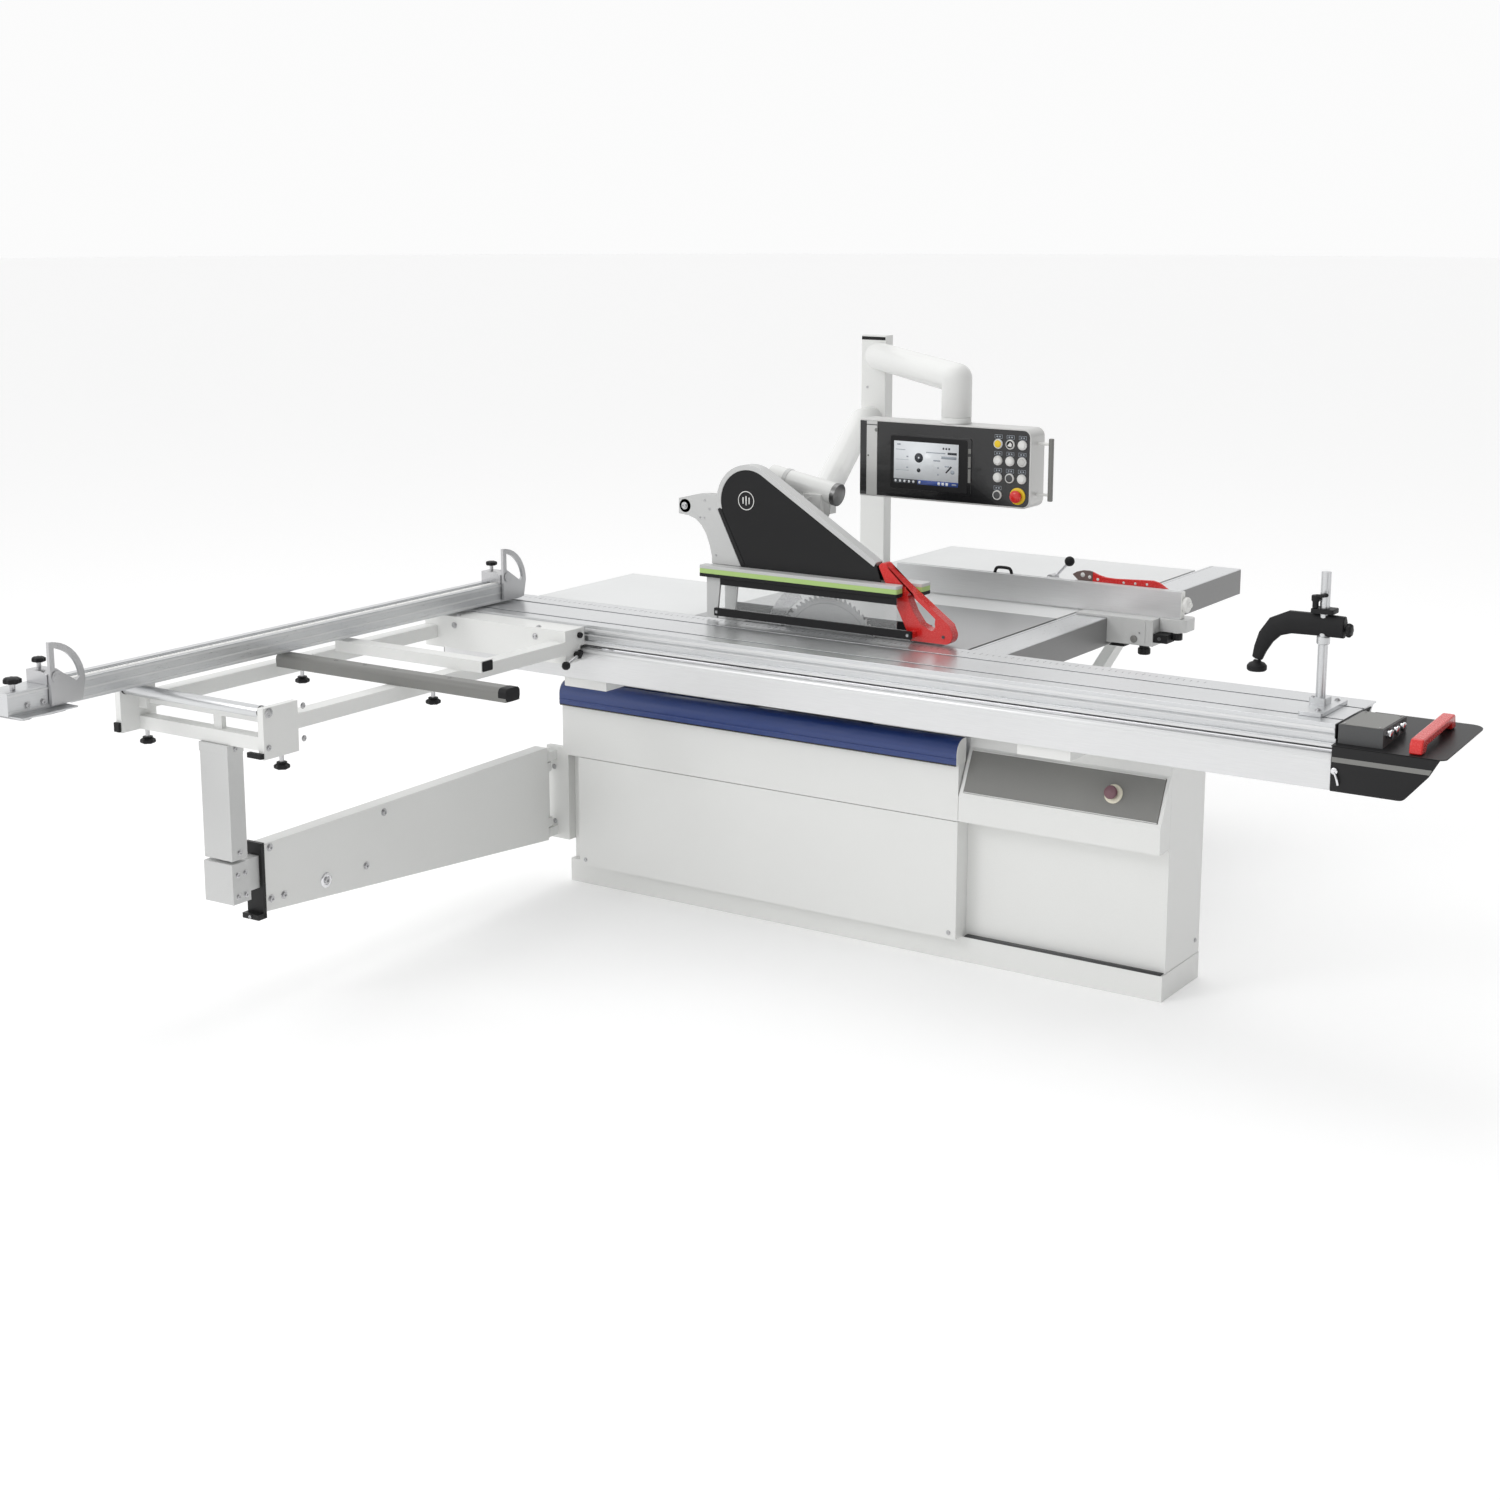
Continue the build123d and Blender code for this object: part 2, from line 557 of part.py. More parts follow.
def outrigger_frame():
    """Welded outrigger: deck on the carriage, two long bars, cross bars and roller brackets."""
    x0, x1, top, bar = FRAME_X0, FRAME_X1, FRAME_TOP, FRAME_BAR
    y_deck = CARRIAGE_FRONT - GAP
    frame = block(x0, x1, y_deck - 94, y_deck, 838, DECK_TOP)
    frame += block(x0, x1, y_deck - 94, BEAM_FRONT - 5, 792, DECK_TOP)
    frame -= block(x0 + 5, x1 - 5, y_deck - 89, y_deck - 5, 840, DECK_TOP - 5)
    frame -= block(x0 + 5, x1 - 5, y_deck - 89, BEAM_FRONT - 10, 780, DECK_TOP - 5)
    y_out = POST_Y - 20
    for xa, xb in ((x0, x0 + 50), (x1 - 50, x1)):
        frame += block(xa, xb, y_out, y_deck - 90, top - bar, top)
    frame += block(x0, x1, POST_Y - 10, POST_Y + 50, top - 26, top)
    frame += block(x0, x1, POST_Y - 20, POST_Y + 20, LOWER_CROSS_BOTTOM, LOWER_CROSS_TOP)
    frame += block(POST_X - 15, POST_X + 15, POST_Y - 8, POST_Y + 8, LOWER_CROSS_TOP - 1, top - 20)
    for xa, xb in ((x0, x0 + 20), (x1 - 20, x1)):
        frame += block(xa, xb, ROLLER_Y - 20, POST_Y + 40, LOWER_CROSS_BOTTOM, ROLLER_Z + 14)
    bores = Pos((x0 + x1) / 2, ROLLER_Y, ROLLER_Z) * Rot(0, 90, 0) * Cylinder(6 + PIN_CLEARANCE, x1 - x0 - 10)
    frame -= bores
    frame += block(x0 + 70, x1 + 74, -775, -725, top, DECK_TOP)
    return frame


def support_roller():
    """Roller tube at the outrigger's outer end, turning on stub pins."""
    length = FRAME_X1 - FRAME_X0
    middle = Pos((FRAME_X0 + FRAME_X1) / 2, ROLLER_Y, ROLLER_Z) * Rot(0, 90, 0)
    return middle * Cylinder(ROLLER_TUBE_RADIUS, length - 42) + middle * Cylinder(6, length - 12)


def mitre_bar():
    """Round-topped aluminium bar that the mitre fence is set against."""
    bar = block(-245, 600, -1032, -974, FRAME_TOP + GAP / 5, FRAME_TOP + 37)
    return fillet(bar.edges().filter_by(Axis.X).group_by(Axis.Z)[-1], 14)


def support_post():
    """Rectangular post under the outrigger."""
    half_x, half_y = POST_WIDTH / 2, POST_DEPTH / 2
    post = block(POST_X - half_x, POST_X + half_x, POST_Y - half_y, POST_Y + half_y, POST_BOTTOM,
                 LOWER_CROSS_BOTTOM)
    post -= block(POST_X - half_x + 4, POST_X + half_x - 4, POST_Y - half_y + 4, POST_Y + half_y - 4,
                  POST_BOTTOM + 6, LOWER_CROSS_BOTTOM + 5)
    return post


def frame_knobs():
    """Four clamp knobs under the corners and sides of the outrigger."""
    knob = Pos(0, 0, -15) * Cylinder(6, 30) + Pos(0, 0, -36) * Cylinder(20, 14)
    spots = [(FRAME_X0 + 25, POST_Y, LOWER_CROSS_BOTTOM), (FRAME_X1 - 25, POST_Y, LOWER_CROSS_BOTTOM),
             (FRAME_X0 + 25, -870, FRAME_TOP - FRAME_BAR), (FRAME_X1 - 25, -870, FRAME_TOP - FRAME_BAR)]
    return [Pos(*spot) * knob for spot in spots]


LEVER_PIVOT = (FRAME_X1 + 12, -250.0, 814.0)


def clamp_lever():
    """Ball lever that clamps the outrigger to the carriage."""
    x, y, z = LEVER_PIVOT
    lever = tube_between((FRAME_X1 + 1, y, z), (x + 8, y, z), 11)
    lever += tube_between((x, y, z), (x, y - 62, z - 22), 5)
    return lever + Pos(x, y - 62, z - 22) * Sphere(13)


# ---------------------------------------------------------------- crosscut fence
FENCE_TOP = FENCE_BOTTOM + FENCE_HEIGHT
FENCE_X0 = FENCE_FRONT_X - FENCE_WIDTH
EXTENSION_Y0 = -1100.0
STOP_THICKNESS = 10.0
STOP_PIVOT_Z = 985.0


def crosscut_fence():
    """Fence extrusion, hollow at its outer end for the extension."""
    fence = block(FENCE_X0, FENCE_FRONT_X, FENCE_Y1, FENCE_Y0, FENCE_BOTTOM, FENCE_TOP)
    fence -= block(FENCE_X0 + 8, FENCE_FRONT_X - 8, FENCE_Y1 - 5, EXTENSION_Y0 + 20, FENCE_BOTTOM + 7,
                   FENCE_TOP - 9)
    fence -= block(FENCE_X0 + 36, FENCE_X0 + 46, FENCE_Y1 - 5, FENCE_Y0 + 5, FENCE_TOP - 6, FENCE_TOP + 5)
    return fence


def fence_tip():
    """Wedge-shaped plastic end piece beside the blade path."""
    tip = profile_x([(FENCE_Y0, FENCE_BOTTOM), (FENCE_Y0, FENCE_BOTTOM + 34), (FENCE_Y0 + 30, FENCE_BOTTOM + 32),
                     (FENCE_Y0 + 56, FENCE_BOTTOM + 12), (FENCE_Y0 + 56, FENCE_BOTTOM)],
                    FENCE_X0, FENCE_FRONT_X)
    return tip


def fence_extension():
    """Telescopic bar with its end block and base plate."""
    bar = block(FENCE_X0 + 9, FENCE_FRONT_X - 9, FENCE_Y1 - 16, EXTENSION_Y0, FENCE_BOTTOM + 8, FENCE_TOP - 10)
    head = block(FENCE_X0, FENCE_FRONT_X, FENCE_Y1 - 200, FENCE_Y1 - 15, FENCE_BOTTOM, FENCE_TOP)
    foot = block(FENCE_X0 - 10, FENCE_FRONT_X + 40, FENCE_Y1 - 190, FENCE_Y1 - 12, FENCE_BOTTOM - 4, FENCE_BOTTOM)
    return bar + head + foot


def stop_base(y):
    """Clamping block of a flip stop, seated on the fence, with its knob and pivot pin."""
    base = block(FENCE_X0 + 8, FENCE_FRONT_X + 1, y - 4, y + 46, FENCE_TOP + GAP / 5, FENCE_TOP + 34)
    base += Pos(FENCE_X0 + 30, y + 20, FENCE_TOP + 50) * Cylinder(5, 34)
    base += Pos(FENCE_X0 + 30, y + 20, FENCE_TOP + 70) * Cylinder(17, 12)
    pin = tube_between((FENCE_FRONT_X, y + 20, STOP_PIVOT_Z), (FENCE_FRONT_X + STOP_THICKNESS + 5, y + 20,
                       STOP_PIVOT_Z), 6)
    return base + pin


def stop_flap(y):
    """Quarter-round flap that swings up about the pin in front of the fence."""
    x0 = FENCE_FRONT_X + 2
    z0, z1 = FENCE_BOTTOM + 6, 1076.0
    arc = [(y + 112 * math.sin(math.radians(a)), z1 - 112 + 112 * math.cos(math.radians(a)))
           for a in range(0, 91, 15)]
    outline = [(y, z0), (y, z1)] + arc[1:] + [(y + 100, z0)]
    inner_arc = [(y + 18 + 74 * math.sin(math.radians(a)), z1 - 112 + 86 * math.cos(math.radians(a)))
                 for a in range(0, 91, 15)]
    window = [(y + 18, STOP_PIVOT_Z + 22)] + inner_arc + [(y + 88, STOP_PIVOT_Z - 22), (y + 44, STOP_PIVOT_Z + 2)]
    flap = profile_x(outline, x0, x0 + STOP_THICKNESS) - profile_x(window, x0 - 1, x0 + STOP_THICKNESS + 1)
    return flap - tube_between((x0 - 2, y + 20, STOP_PIVOT_Z), (x0 + STOP_THICKNESS + 2, y + 20, STOP_PIVOT_Z),
                               6 + PIN_CLEARANCE)


STOP_INNER_Y = -73.0
STOP_OUTER_Y = FENCE_Y1 - 72.0

save("swing_arm", swing_arm(), arm_end_plate())
save("arm_extension", arm_extension())
save("carriage_profile", carriage_profile())
save("end_tray", end_tray())
save("push_handle", push_handle())
save("button_box", button_box())
save("box_buttons", *box_buttons())
save("clamp_post", clamp_post())
save("clamp_arm", clamp_arm())
save("clamp_pad", clamp_pad())
save("outrigger_frame", outrigger_frame())
save("support_roller", support_roller())
save("mitre_bar", mitre_bar())
save("support_post", support_post())
save("frame_knobs", *frame_knobs())
save("clamp_lever", clamp_lever())
save("crosscut_fence", crosscut_fence(), fence_tip())
save("fence_extension", fence_extension())
save("stop_base_inner", stop_base(STOP_INNER_Y))
save("stop_flap_inner", stop_flap(STOP_INNER_Y))
save("stop_base_outer", stop_base(STOP_OUTER_Y))
save("stop_flap_outer", stop_flap(STOP_OUTER_Y))


# ---------------------------------------------------------------- rip fence
RIP_Z0 = 905.0
BLOCK_X = (1574.0, 1648.0)
LEVER_BASE = (1254.0, 905.0)


def rip_fence_carriage():
    """Clamping block that rides on the rail, with its round button, end cap and knobs."""
    plate_z = RAIL_TOP + GAP
    x0, x1 = BLOCK_X
    rail_end = RAIL_X0 + RAIL_WIDTH
    carriage = block(RAIL_X0 + 10, x1, RIP_Y - 60, RIP_Y + 110, plate_z, RIP_Z0)
    carriage += block(rail_end + SLIDE_GAP, x1, RIP_Y - 60, RIP_Y + 110, RAIL_TOP - 75, plate_z + 2)
    carriage += block(x0, x1, RIP_Y + RIP_THICKNESS + 1, RIP_Y + 60, plate_z, RIP_Z0 + 46)
    carriage += rounded(block(x1 - 2, x1 + 87, RIP_Y - 20, RIP_Y + 70, RAIL_TOP - 31, RIP_Z0),
                        Axis.Z, 18)
    for x, z in ((1600, RAIL_TOP - 75), (1706, RAIL_TOP - 31)):
        carriage += Pos(x, RIP_Y - 10, z - 11) * Cylinder(14, 24)
    return carriage


def rip_fence_bar():
    """Fence extrusion with a groove along its top and back."""
    bar = block(RIP_X0, RIP_X1, RIP_Y, RIP_Y + RIP_THICKNESS, RIP_Z0, RIP_Z0 + RIP_HEIGHT)
    bar -= block(RIP_X0 - 5, RIP_X1 + 5, RIP_Y + 8, RIP_Y + 18, RIP_Z0 + RIP_HEIGHT - 10, RIP_Z0 + 90)
    return bar - block(RIP_X0 - 5, RIP_X1 + 5, RIP_Y + 6, RIP_Y + 20, RIP_Z0 + 8, RIP_Z0 + RIP_HEIGHT - 24)


def rip_fence_lever():
    """Clamp lever with a ball, turning on a stub behind the fence."""
    x, y = LEVER_BASE
    lever = tube_between((x, RIP_Y + RIP_THICKNESS + GAP, 985), (x, y + 8, 985), 14)
    lever += tube_between((x, y, 985), (x + 51, y, 1040), 6)
    return lever + Pos(x + 51, y, 1040) * Sphere(16)


def push_stick():
    """Push stick hung behind the fence, with two hanging holes and a notched end."""
    y0 = RIP_Y + RIP_THICKNESS + 4
    stick = profile_y([(1330, 962), (1330, 1012), (1370, 1022), (1560, 1022), (1670, 1012), (1655, 990),
                       (1670, 968), (1560, 958)], y0, y0 + 8)
    for x in (1360, 1540):
        stick -= Pos(x, y0 + 4, 998) * Rot(90, 0, 0) * Cylinder(9, 20)
    return stick


# ---------------------------------------------------------------- saw unit
ARBOR_Z = TABLE_HEIGHT + BLADE_PROJECTION - BLADE_RADIUS
SCORING_Z = TABLE_HEIGHT + SCORING_DEPTH - SCORING_RADIUS
BLADE_Y0 = BLADE_Y - BLADE_THICKNESS / 2
BLADE_Y1 = BLADE_Y + BLADE_THICKNESS / 2
TILT_PLATE = (146.0, 158.0)
LIFT_PLATE = (160.0, 172.0)
GUIDE_Y = 180.0
STRAP_Z = (655.0, 668.0)
KNIFE_ARM_Z = (792.0, 826.0)
PULLEY_RADIUS = 20.0
BELT_Y = (253.0, 271.0)
MOTOR_Y = (282.0, 410.0)
KNIFE_THICKNESS = 2.8


def disc(x, z, radius, y0, y1):
    """A round plate or bar whose axis lies along Y."""
    return tube_between((x, y0, z), (x, y1, z), radius)


def tilt_frame():
    """Two arc trunnions joined by a plate that carries the lift guide rods and the scoring boss."""
    x0, x1 = TRUNNION_X[0], TRUNNION_X[1] + TRUNNION_THICKNESS
    top = TABLE_HEIGHT - TABLE_THICKNESS - 5
    y0, y1 = TILT_PLATE
    frame = block(x0, x1, y0, y1, 735, top)
    sector = [(BLADE_Y, TABLE_HEIGHT)]
    for angle in (-92, -67, -42):
        turn = math.radians(angle)
        sector.append((BLADE_Y + 260 * math.cos(turn), TABLE_HEIGHT + 260 * math.sin(turn)))
    for x in TRUNNION_X:
        mid = x + TRUNNION_THICKNESS / 2
        ring = Pos(mid, BLADE_Y, TABLE_HEIGHT) * Rot(0, 90, 0) * (
            Cylinder(TRUNNION_RADIUS, TRUNNION_THICKNESS)
            - Cylinder(TRUNNION_RADIUS - TRUNNION_WIDTH, TRUNNION_THICKNESS + 5))
        frame += ring & profile_x(sector, x, x + TRUNNION_THICKNESS)
        frame += block(x, x + TRUNNION_THICKNESS, y0, y1, 720, 740)
    frame -= block(780, 950, y0 - 5, y1 + 5, STRAP_Z[1], top + 5)
    frame += block(GUIDE_X[0] - 34, GUIDE_X[1] + 34, y0, y1, *STRAP_Z)
    for x, side in zip(GUIDE_X, (-1, 1)):
        edge = x + 24 * side
        frame += Pos(x, GUIDE_Y, (662 + top) / 2) * Cylinder(GUIDE_RADIUS, top - 662)
        frame += block(x - 14, x + 14, y0, GUIDE_Y + 12, top - 5, top)
        frame += block(edge - 10, edge + 10, y0, y1, 662, 740)
        frame += block(edge - 10, edge + 10, y0, GUIDE_Y + 10, 662, 676)
        frame += block(x - 10, edge, LIFT_PLATE[1] + 2, GUIDE_Y + 10, 662, 676)
    frame += disc(SCORING_X, SCORING_Z, 14, BLADE_Y + 6, y1)
    frame -= disc(SCORING_X, SCORING_Z, SCORING_SHAFT + PIN_CLEARANCE, BLADE_Y, y1 + 5)
    return frame


def lift_slide():
    """Plate with bushings on the guide rods, the arbor housing and the motor mount."""
    y0, y1 = LIFT_PLATE
    left, right = GUIDE_X
    slide = block(left - 8, right + 12, y0, y1, 700, 850)
    for x in GUIDE_X:
        slide += Pos(x, GUIDE_Y, 827.5) * Cylinder(18, 45)
        slide -= block(x - 10, x + 10, y0 - 5, GUIDE_Y, 695, 804)
    slide += disc(BLADE_X, ARBOR_Z, HOUSING_RADIUS, BLADE_Y1 + 9, BELT_Y[0] - 3)
    slide += block(785, 835, BLADE_Y1 + 6, y0 + 2, *KNIFE_ARM_Z)
    slide += block(668, 835, BLADE_Y1 + 6, BLADE_Y1 + 26, *KNIFE_ARM_Z)
    slide += block(668, 700, BLADE_Y1 - 0.2, BLADE_Y1 + 26, *KNIFE_ARM_Z)
    slide += block(955, 985, y0, MOTOR_Y[0] - 1, 700, 748)
    slide += block(955, 1162, MOTOR_Y[0] - 6, MOTOR_Y[0], 700, 842)
    slide -= disc(MOTOR_X, MOTOR_Z, 16, MOTOR_Y[0] - 10, MOTOR_Y[0] + 5)
    for x in GUIDE_X:
        slide -= Pos(x, GUIDE_Y, 827.5) * Cylinder(GUIDE_RADIUS + PIN_CLEARANCE, 60)
    return slide - disc(BLADE_X, ARBOR_Z, ARBOR_RADIUS + PIN_CLEARANCE, BLADE_Y, BELT_Y[0] + 5)


def saw_arbor():
    """Arbor shaft with two clamp flanges, a nut and its pulley."""
    arbor = disc(BLADE_X, ARBOR_Z, ARBOR_RADIUS, BLADE_Y - 18, BELT_Y[1] + 2)
    arbor += disc(BLADE_X, ARBOR_Z, 45, BLADE_Y0 - 6, BLADE_Y0)
    arbor += disc(BLADE_X, ARBOR_Z, 18, BLADE_Y - 18, BLADE_Y0 - 5)
    arbor += disc(BLADE_X, ARBOR_Z, 45, BLADE_Y1, BLADE_Y1 + 6)
    return arbor + disc(BLADE_X, ARBOR_Z, PULLEY_RADIUS, *BELT_Y)


def toothed_disc(x, z, radius, bore, count):
    """Saw blade with gullets cut between carbide-tipped teeth."""
    blade = disc(x, z, radius, BLADE_Y0, BLADE_Y1)
    blade -= disc(x, z, bore, BLADE_Y0 - 1, BLADE_Y1 + 1)
    depth = radius * 0.055
    pitch = 2 * math.pi / count
    gullet = [(radius + 1, -0.02), (radius - depth, -0.08), (radius - depth * 0.9, 0.3), (radius + 1, 0.72)]
    cuts = []
    for i in range(count):
        points = []
        for r, share in gullet:
            turn = pitch * (i + share)
            points.append((x + r * math.cos(turn), z + r * math.sin(turn)))
        cuts.append(profile_y(points, BLADE_Y0 - 1, BLADE_Y1 + 1))
    return blade - cuts


def main_blade():
    """Main blade on the arbor."""
    return toothed_disc(BLADE_X, ARBOR_Z, BLADE_RADIUS, ARBOR_RADIUS, TOOTH_COUNT)


def scoring_blade():
    """Scoring blade with its flange and short shaft."""
    blade = toothed_disc(SCORING_X, SCORING_Z, SCORING_RADIUS, SCORING_SHAFT - 1, TOOTH_COUNT // 2)
    blade += disc(SCORING_X, SCORING_Z, SCORING_SHAFT, BLADE_Y0 - 8, TILT_PLATE[1])
    blade += disc(SCORING_X, SCORING_Z, 13, BLADE_Y0 - 5, BLADE_Y0)
    return blade


def riving_knife():
    """Curved knife behind the blade, on the lift slide."""
    y0, y1 = BLADE_Y - KNIFE_THICKNESS / 2, BLADE_Y + KNIFE_THICKNESS / 2
    ring = disc(BLADE_X, ARBOR_Z, BLADE_RADIUS + 55, y0, y1) - disc(BLADE_X, ARBOR_Z, BLADE_RADIUS + 6,
                                                                    y0 - 1, y1 + 1)
    wedge = [(BLADE_X, ARBOR_Z)]
    for angle in (122, 150, 175):
        turn = math.radians(angle)
        wedge.append((BLADE_X + 320 * math.cos(turn), ARBOR_Z + 320 * math.sin(turn)))
    knife = ring & profile_y(wedge, y0, y1)
    knife &= block(600, 900, y0, y1, 700, TABLE_HEIGHT + BLADE_PROJECTION - 2)
    return knife + block(666, 706, y0, y1, KNIFE_ARM_Z[0] + 4, ARBOR_Z + 25)


def motor():
    """Saw motor with cooling ribs, its shaft and pulley."""
    y0, y1 = MOTOR_Y
    body = disc(MOTOR_X, MOTOR_Z, MOTOR_RADIUS - 6, y0, y1)
    body += disc(MOTOR_X, MOTOR_Z, MOTOR_RADIUS, y0, y0 + 14)
    body += disc(MOTOR_X, MOTOR_Z, MOTOR_RADIUS, y1 - 16, y1)
    for i in range(18):
        rib = block(-2, 2, y0 + 12, y1 - 14, MOTOR_RADIUS - 10, MOTOR_RADIUS - 1)
        body += Pos(MOTOR_X, 0, MOTOR_Z) * Rot(0, 20 * i, 0) * rib
    body += disc(MOTOR_X, MOTOR_Z, 12, BELT_Y[0], y0 + 2)
    return body + disc(MOTOR_X, MOTOR_Z, PULLEY_RADIUS + 0.4, *BELT_Y)


def stadium(radius, y0, y1):
    """Closed band shape around the arbor and motor pulleys."""
    dx, dz = MOTOR_X - BLADE_X, MOTOR_Z - ARBOR_Z
    length = math.hypot(dx, dz)
    turn = math.degrees(math.atan2(-dz, dx))
    middle = Pos(BLADE_X + dx / 2, (y0 + y1) / 2, ARBOR_Z + dz / 2) * Rot(0, turn, 0)
    shape = middle * Box(length, y1 - y0, 2 * radius)
    return shape + disc(BLADE_X, ARBOR_Z, radius, y0, y1) + disc(MOTOR_X, MOTOR_Z, radius, y0, y1)


def drive_belt():
    """Flat belt from the motor pulley to the arbor pulley."""
    y0, y1 = BELT_Y[0] + 1, BELT_Y[1] - 1
    return stadium(PULLEY_RADIUS + 4, y0, y1) - stadium(PULLEY_RADIUS + 0.4, y0 - 1, y1 + 1)


# ---------------------------------------------------------------- overhead guard
def inset(points, distance):
    """Moves every side of a closed anticlockwise outline inwards by a distance."""
    lines = []
    count = len(points)
    for i in range(count):
        (ax, ay), (bx, by) = points[i], points[(i + 1) % count]
        length = math.hypot(bx - ax, by - ay)
        nx, ny = -(by - ay) / length, (bx - ax) / length
        lines.append((nx, ny, nx * ax + ny * ay + distance))
    result = []
    for i in range(count):
        a1, b1, c1 = lines[i - 1]
        a2, b2, c2 = lines[i]
        det = a1 * b2 - a2 * b1
        result.append(((c1 * b2 - c2 * b1) / det, (a1 * c2 - a2 * c1) / det))
    return result


HOOD_FRONT = (1072.0, 1126.0)
CROWN = (620.0, 1268.0)
CROWN_RADIUS = 114.0
HOOD_BOTTOM_Z = 1069.0
BUMPER_Z0 = 1034.0
LEG_X = (484.0, 540.0)
WINDOW_X1 = 1160.0
NOSE_Y = (100.0, 136.0)
PIVOT_RADIUS = 10.0


def hood_outline():
    """X-Z outline of the hood, anticlockwise, with a rounded crown."""
    crown = []
    for angle in range(60, 196, 15):
        turn = math.radians(angle)
        crown.append((CROWN[0] + CROWN_RADIUS * math.cos(turn), CROWN[1] + CROWN_RADIUS * math.sin(turn)))
    return [(595, HOOD_BOTTOM_Z), (1088, HOOD_BOTTOM_Z), HOOD_FRONT] + crown


def guard_hood():
    """Thin extraction hood, open below, with the rear bracket that hangs on the pivot."""
    outline = hood_outline()
    hood = profile_y(outline, HOOD_Y0, HOOD_Y1)
    inner = inset(outline, HOOD_WALL)
    hood -= profile_y(inner, HOOD_Y0 + HOOD_WALL, HOOD_Y1 - HOOD_WALL)
    hood -= block(615, 1072, HOOD_Y0 + HOOD_WALL, HOOD_Y1 - HOOD_WALL, HOOD_BOTTOM_Z - 5, HOOD_BOTTOM_Z + 10)
    return hood


def guard_bracket():
    """Rear plates of the guard with the pivot bore, and the two legs beside the riving knife."""
    px, pz = GUARD_PIVOT
    outline = [(px - 24, pz + 22), (px - 24, pz - 26), (440, 1192), (470, 1160), (LEG_X[0], 1100),
               (LEG_X[0], BUMPER_Z0), (600, BUMPER_Z0), (600, HOOD_BOTTOM_Z), (591, HOOD_BOTTOM_Z),
               (506, 1238), (503, 1283)]
    bracket = profile_y(outline, HOOD_Y0 + 6, HOOD_Y0 + 14)
    bracket += profile_y(outline, HOOD_Y1 - 14, HOOD_Y1 - 6)
    bracket += block(px + 20, LEG_X[0], HOOD_Y0 + 6, HOOD_Y1 - 6, pz + 6, pz + 12)
    bracket += block(LEG_X[0], 600, HOOD_Y0, HOOD_Y1, BUMPER_Z0, HOOD_BOTTOM_Z)
    bracket += disc(px, pz, 22, HOOD_Y0 + 6, HOOD_Y1 + 20)
    bracket -= disc(px, pz, PIVOT_RADIUS + PIN_CLEARANCE, HOOD_Y0, HOOD_Y1 + 30)
    leg = [(LEG_X[0], 906), (LEG_X[1] - 18, 906), (LEG_X[1] - 4, BUMPER_Z0), (LEG_X[0], BUMPER_Z0)]
    near_leg = profile_y(leg, SKIRT_Y0 + 12, SKIRT_Y0 + 20)
    far_leg = profile_y(leg, SKIRT_Y1 - 20, SKIRT_Y1 - 12)
    return [bracket, near_leg, far_leg]


def guard_bars():
    """Wide bumper bars on both sides of the guard and the black bars along its lower edge."""
    return [block(LEG_X[0] - 18, 1164, BAR_Y0, HOOD_Y0, BUMPER_Z0, HOOD_BOTTOM_Z),
            block(LEG_X[0] - 18, 1205, HOOD_Y1, BAR_Y1, BUMPER_Z0, HOOD_BOTTOM_Z),
            block(LEG_X[1] - 22, 1210, SKIRT_Y0 + 1, SKIRT_Y0 + 12, 916, 940),
            block(LEG_X[1] - 22, 1210, SKIRT_Y1 - 12, SKIRT_Y1 - 1, 916, 940)]


def guard_window():
    """Two clear side panels under the hood, the far one shorter to clear the tilted blade."""
    return [block(LEG_X[1] + 2, WINDOW_X1, SKIRT_Y0 + 5, SKIRT_Y0 + 8, 940, BUMPER_Z0),
            block(LEG_X[1] + 2, WINDOW_X1, SKIRT_Y1 - 8, SKIRT_Y1 - 5, 1012, BUMPER_Z0)]


def guard_nose():
    """Red nose of the guard with a triangular window and its crossbars."""
    outline = [(1190, 906), (1304, 906), (1328, 928), (1322, 962), (1104, 1118), (1082, 1130),
               (1079, 1120), (1100, 1072), (1126, 1030)]
    hole = [(1177, 1049), (1194, 993), (1238, 941), (1269, 944), (1286, 972)]
    nose = profile_y(outline, *NOSE_Y) - profile_y(hole, NOSE_Y[0] - 5, NOSE_Y[1] + 5)
    nose += block(WINDOW_X1 + 1, WINDOW_X1 + 13, HOOD_Y0, HOOD_Y1, BUMPER_Z0 + 5, HOOD_BOTTOM_Z - 5)
    return nose + block(1194, 1210, SKIRT_Y0 + 12, SKIRT_Y1 - 12, 918, 938)


BOOM_START = (345.0, 1225.0, 1400.0)
BOOM_END = (777.0, 235.0, 1242.0)


def guard_boom():
    """Extraction tube from the column to the guard, with its outlet and the guard's pivot pin."""
    px, pz = GUARD_PIVOT
    hub = Vector(*BOOM_END)
    boom = tube_between(BOOM_START, BOOM_END, TUBE_RADIUS)
    boom += Pos(*BOOM_START) * Sphere(TUBE_RADIUS)
    boom += tube_between((BOOM_START[0], COLUMN_Y - COLUMN_DEPTH / 2, BOOM_START[2]), BOOM_START, TUBE_RADIUS)
    boom += tube_between((600, hub.Y + 30, 1332), (840, hub.Y + 30, 1288), 34)
    boom += block(740, 800, hub.Y - 10, hub.Y + 80, 1225, 1290)
    boom += block(px - 18, 780, BAR_Y1 + 22, BAR_Y1 + 44, pz - 14, pz + 14)
    boom += disc(px, pz, PIVOT_RADIUS, HOOD_Y0 + 10, BAR_Y1 + 30)
    bore = tube_between(BOOM_START, (BOOM_START[0] + 0.9 * (BOOM_END[0] - BOOM_START[0]),
                                     BOOM_START[1] + 0.9 * (BOOM_END[1] - BOOM_START[1]),
                                     BOOM_START[2] + 0.9 * (BOOM_END[2] - BOOM_START[2])), TUBE_RADIUS - 3)
    return boom - bore


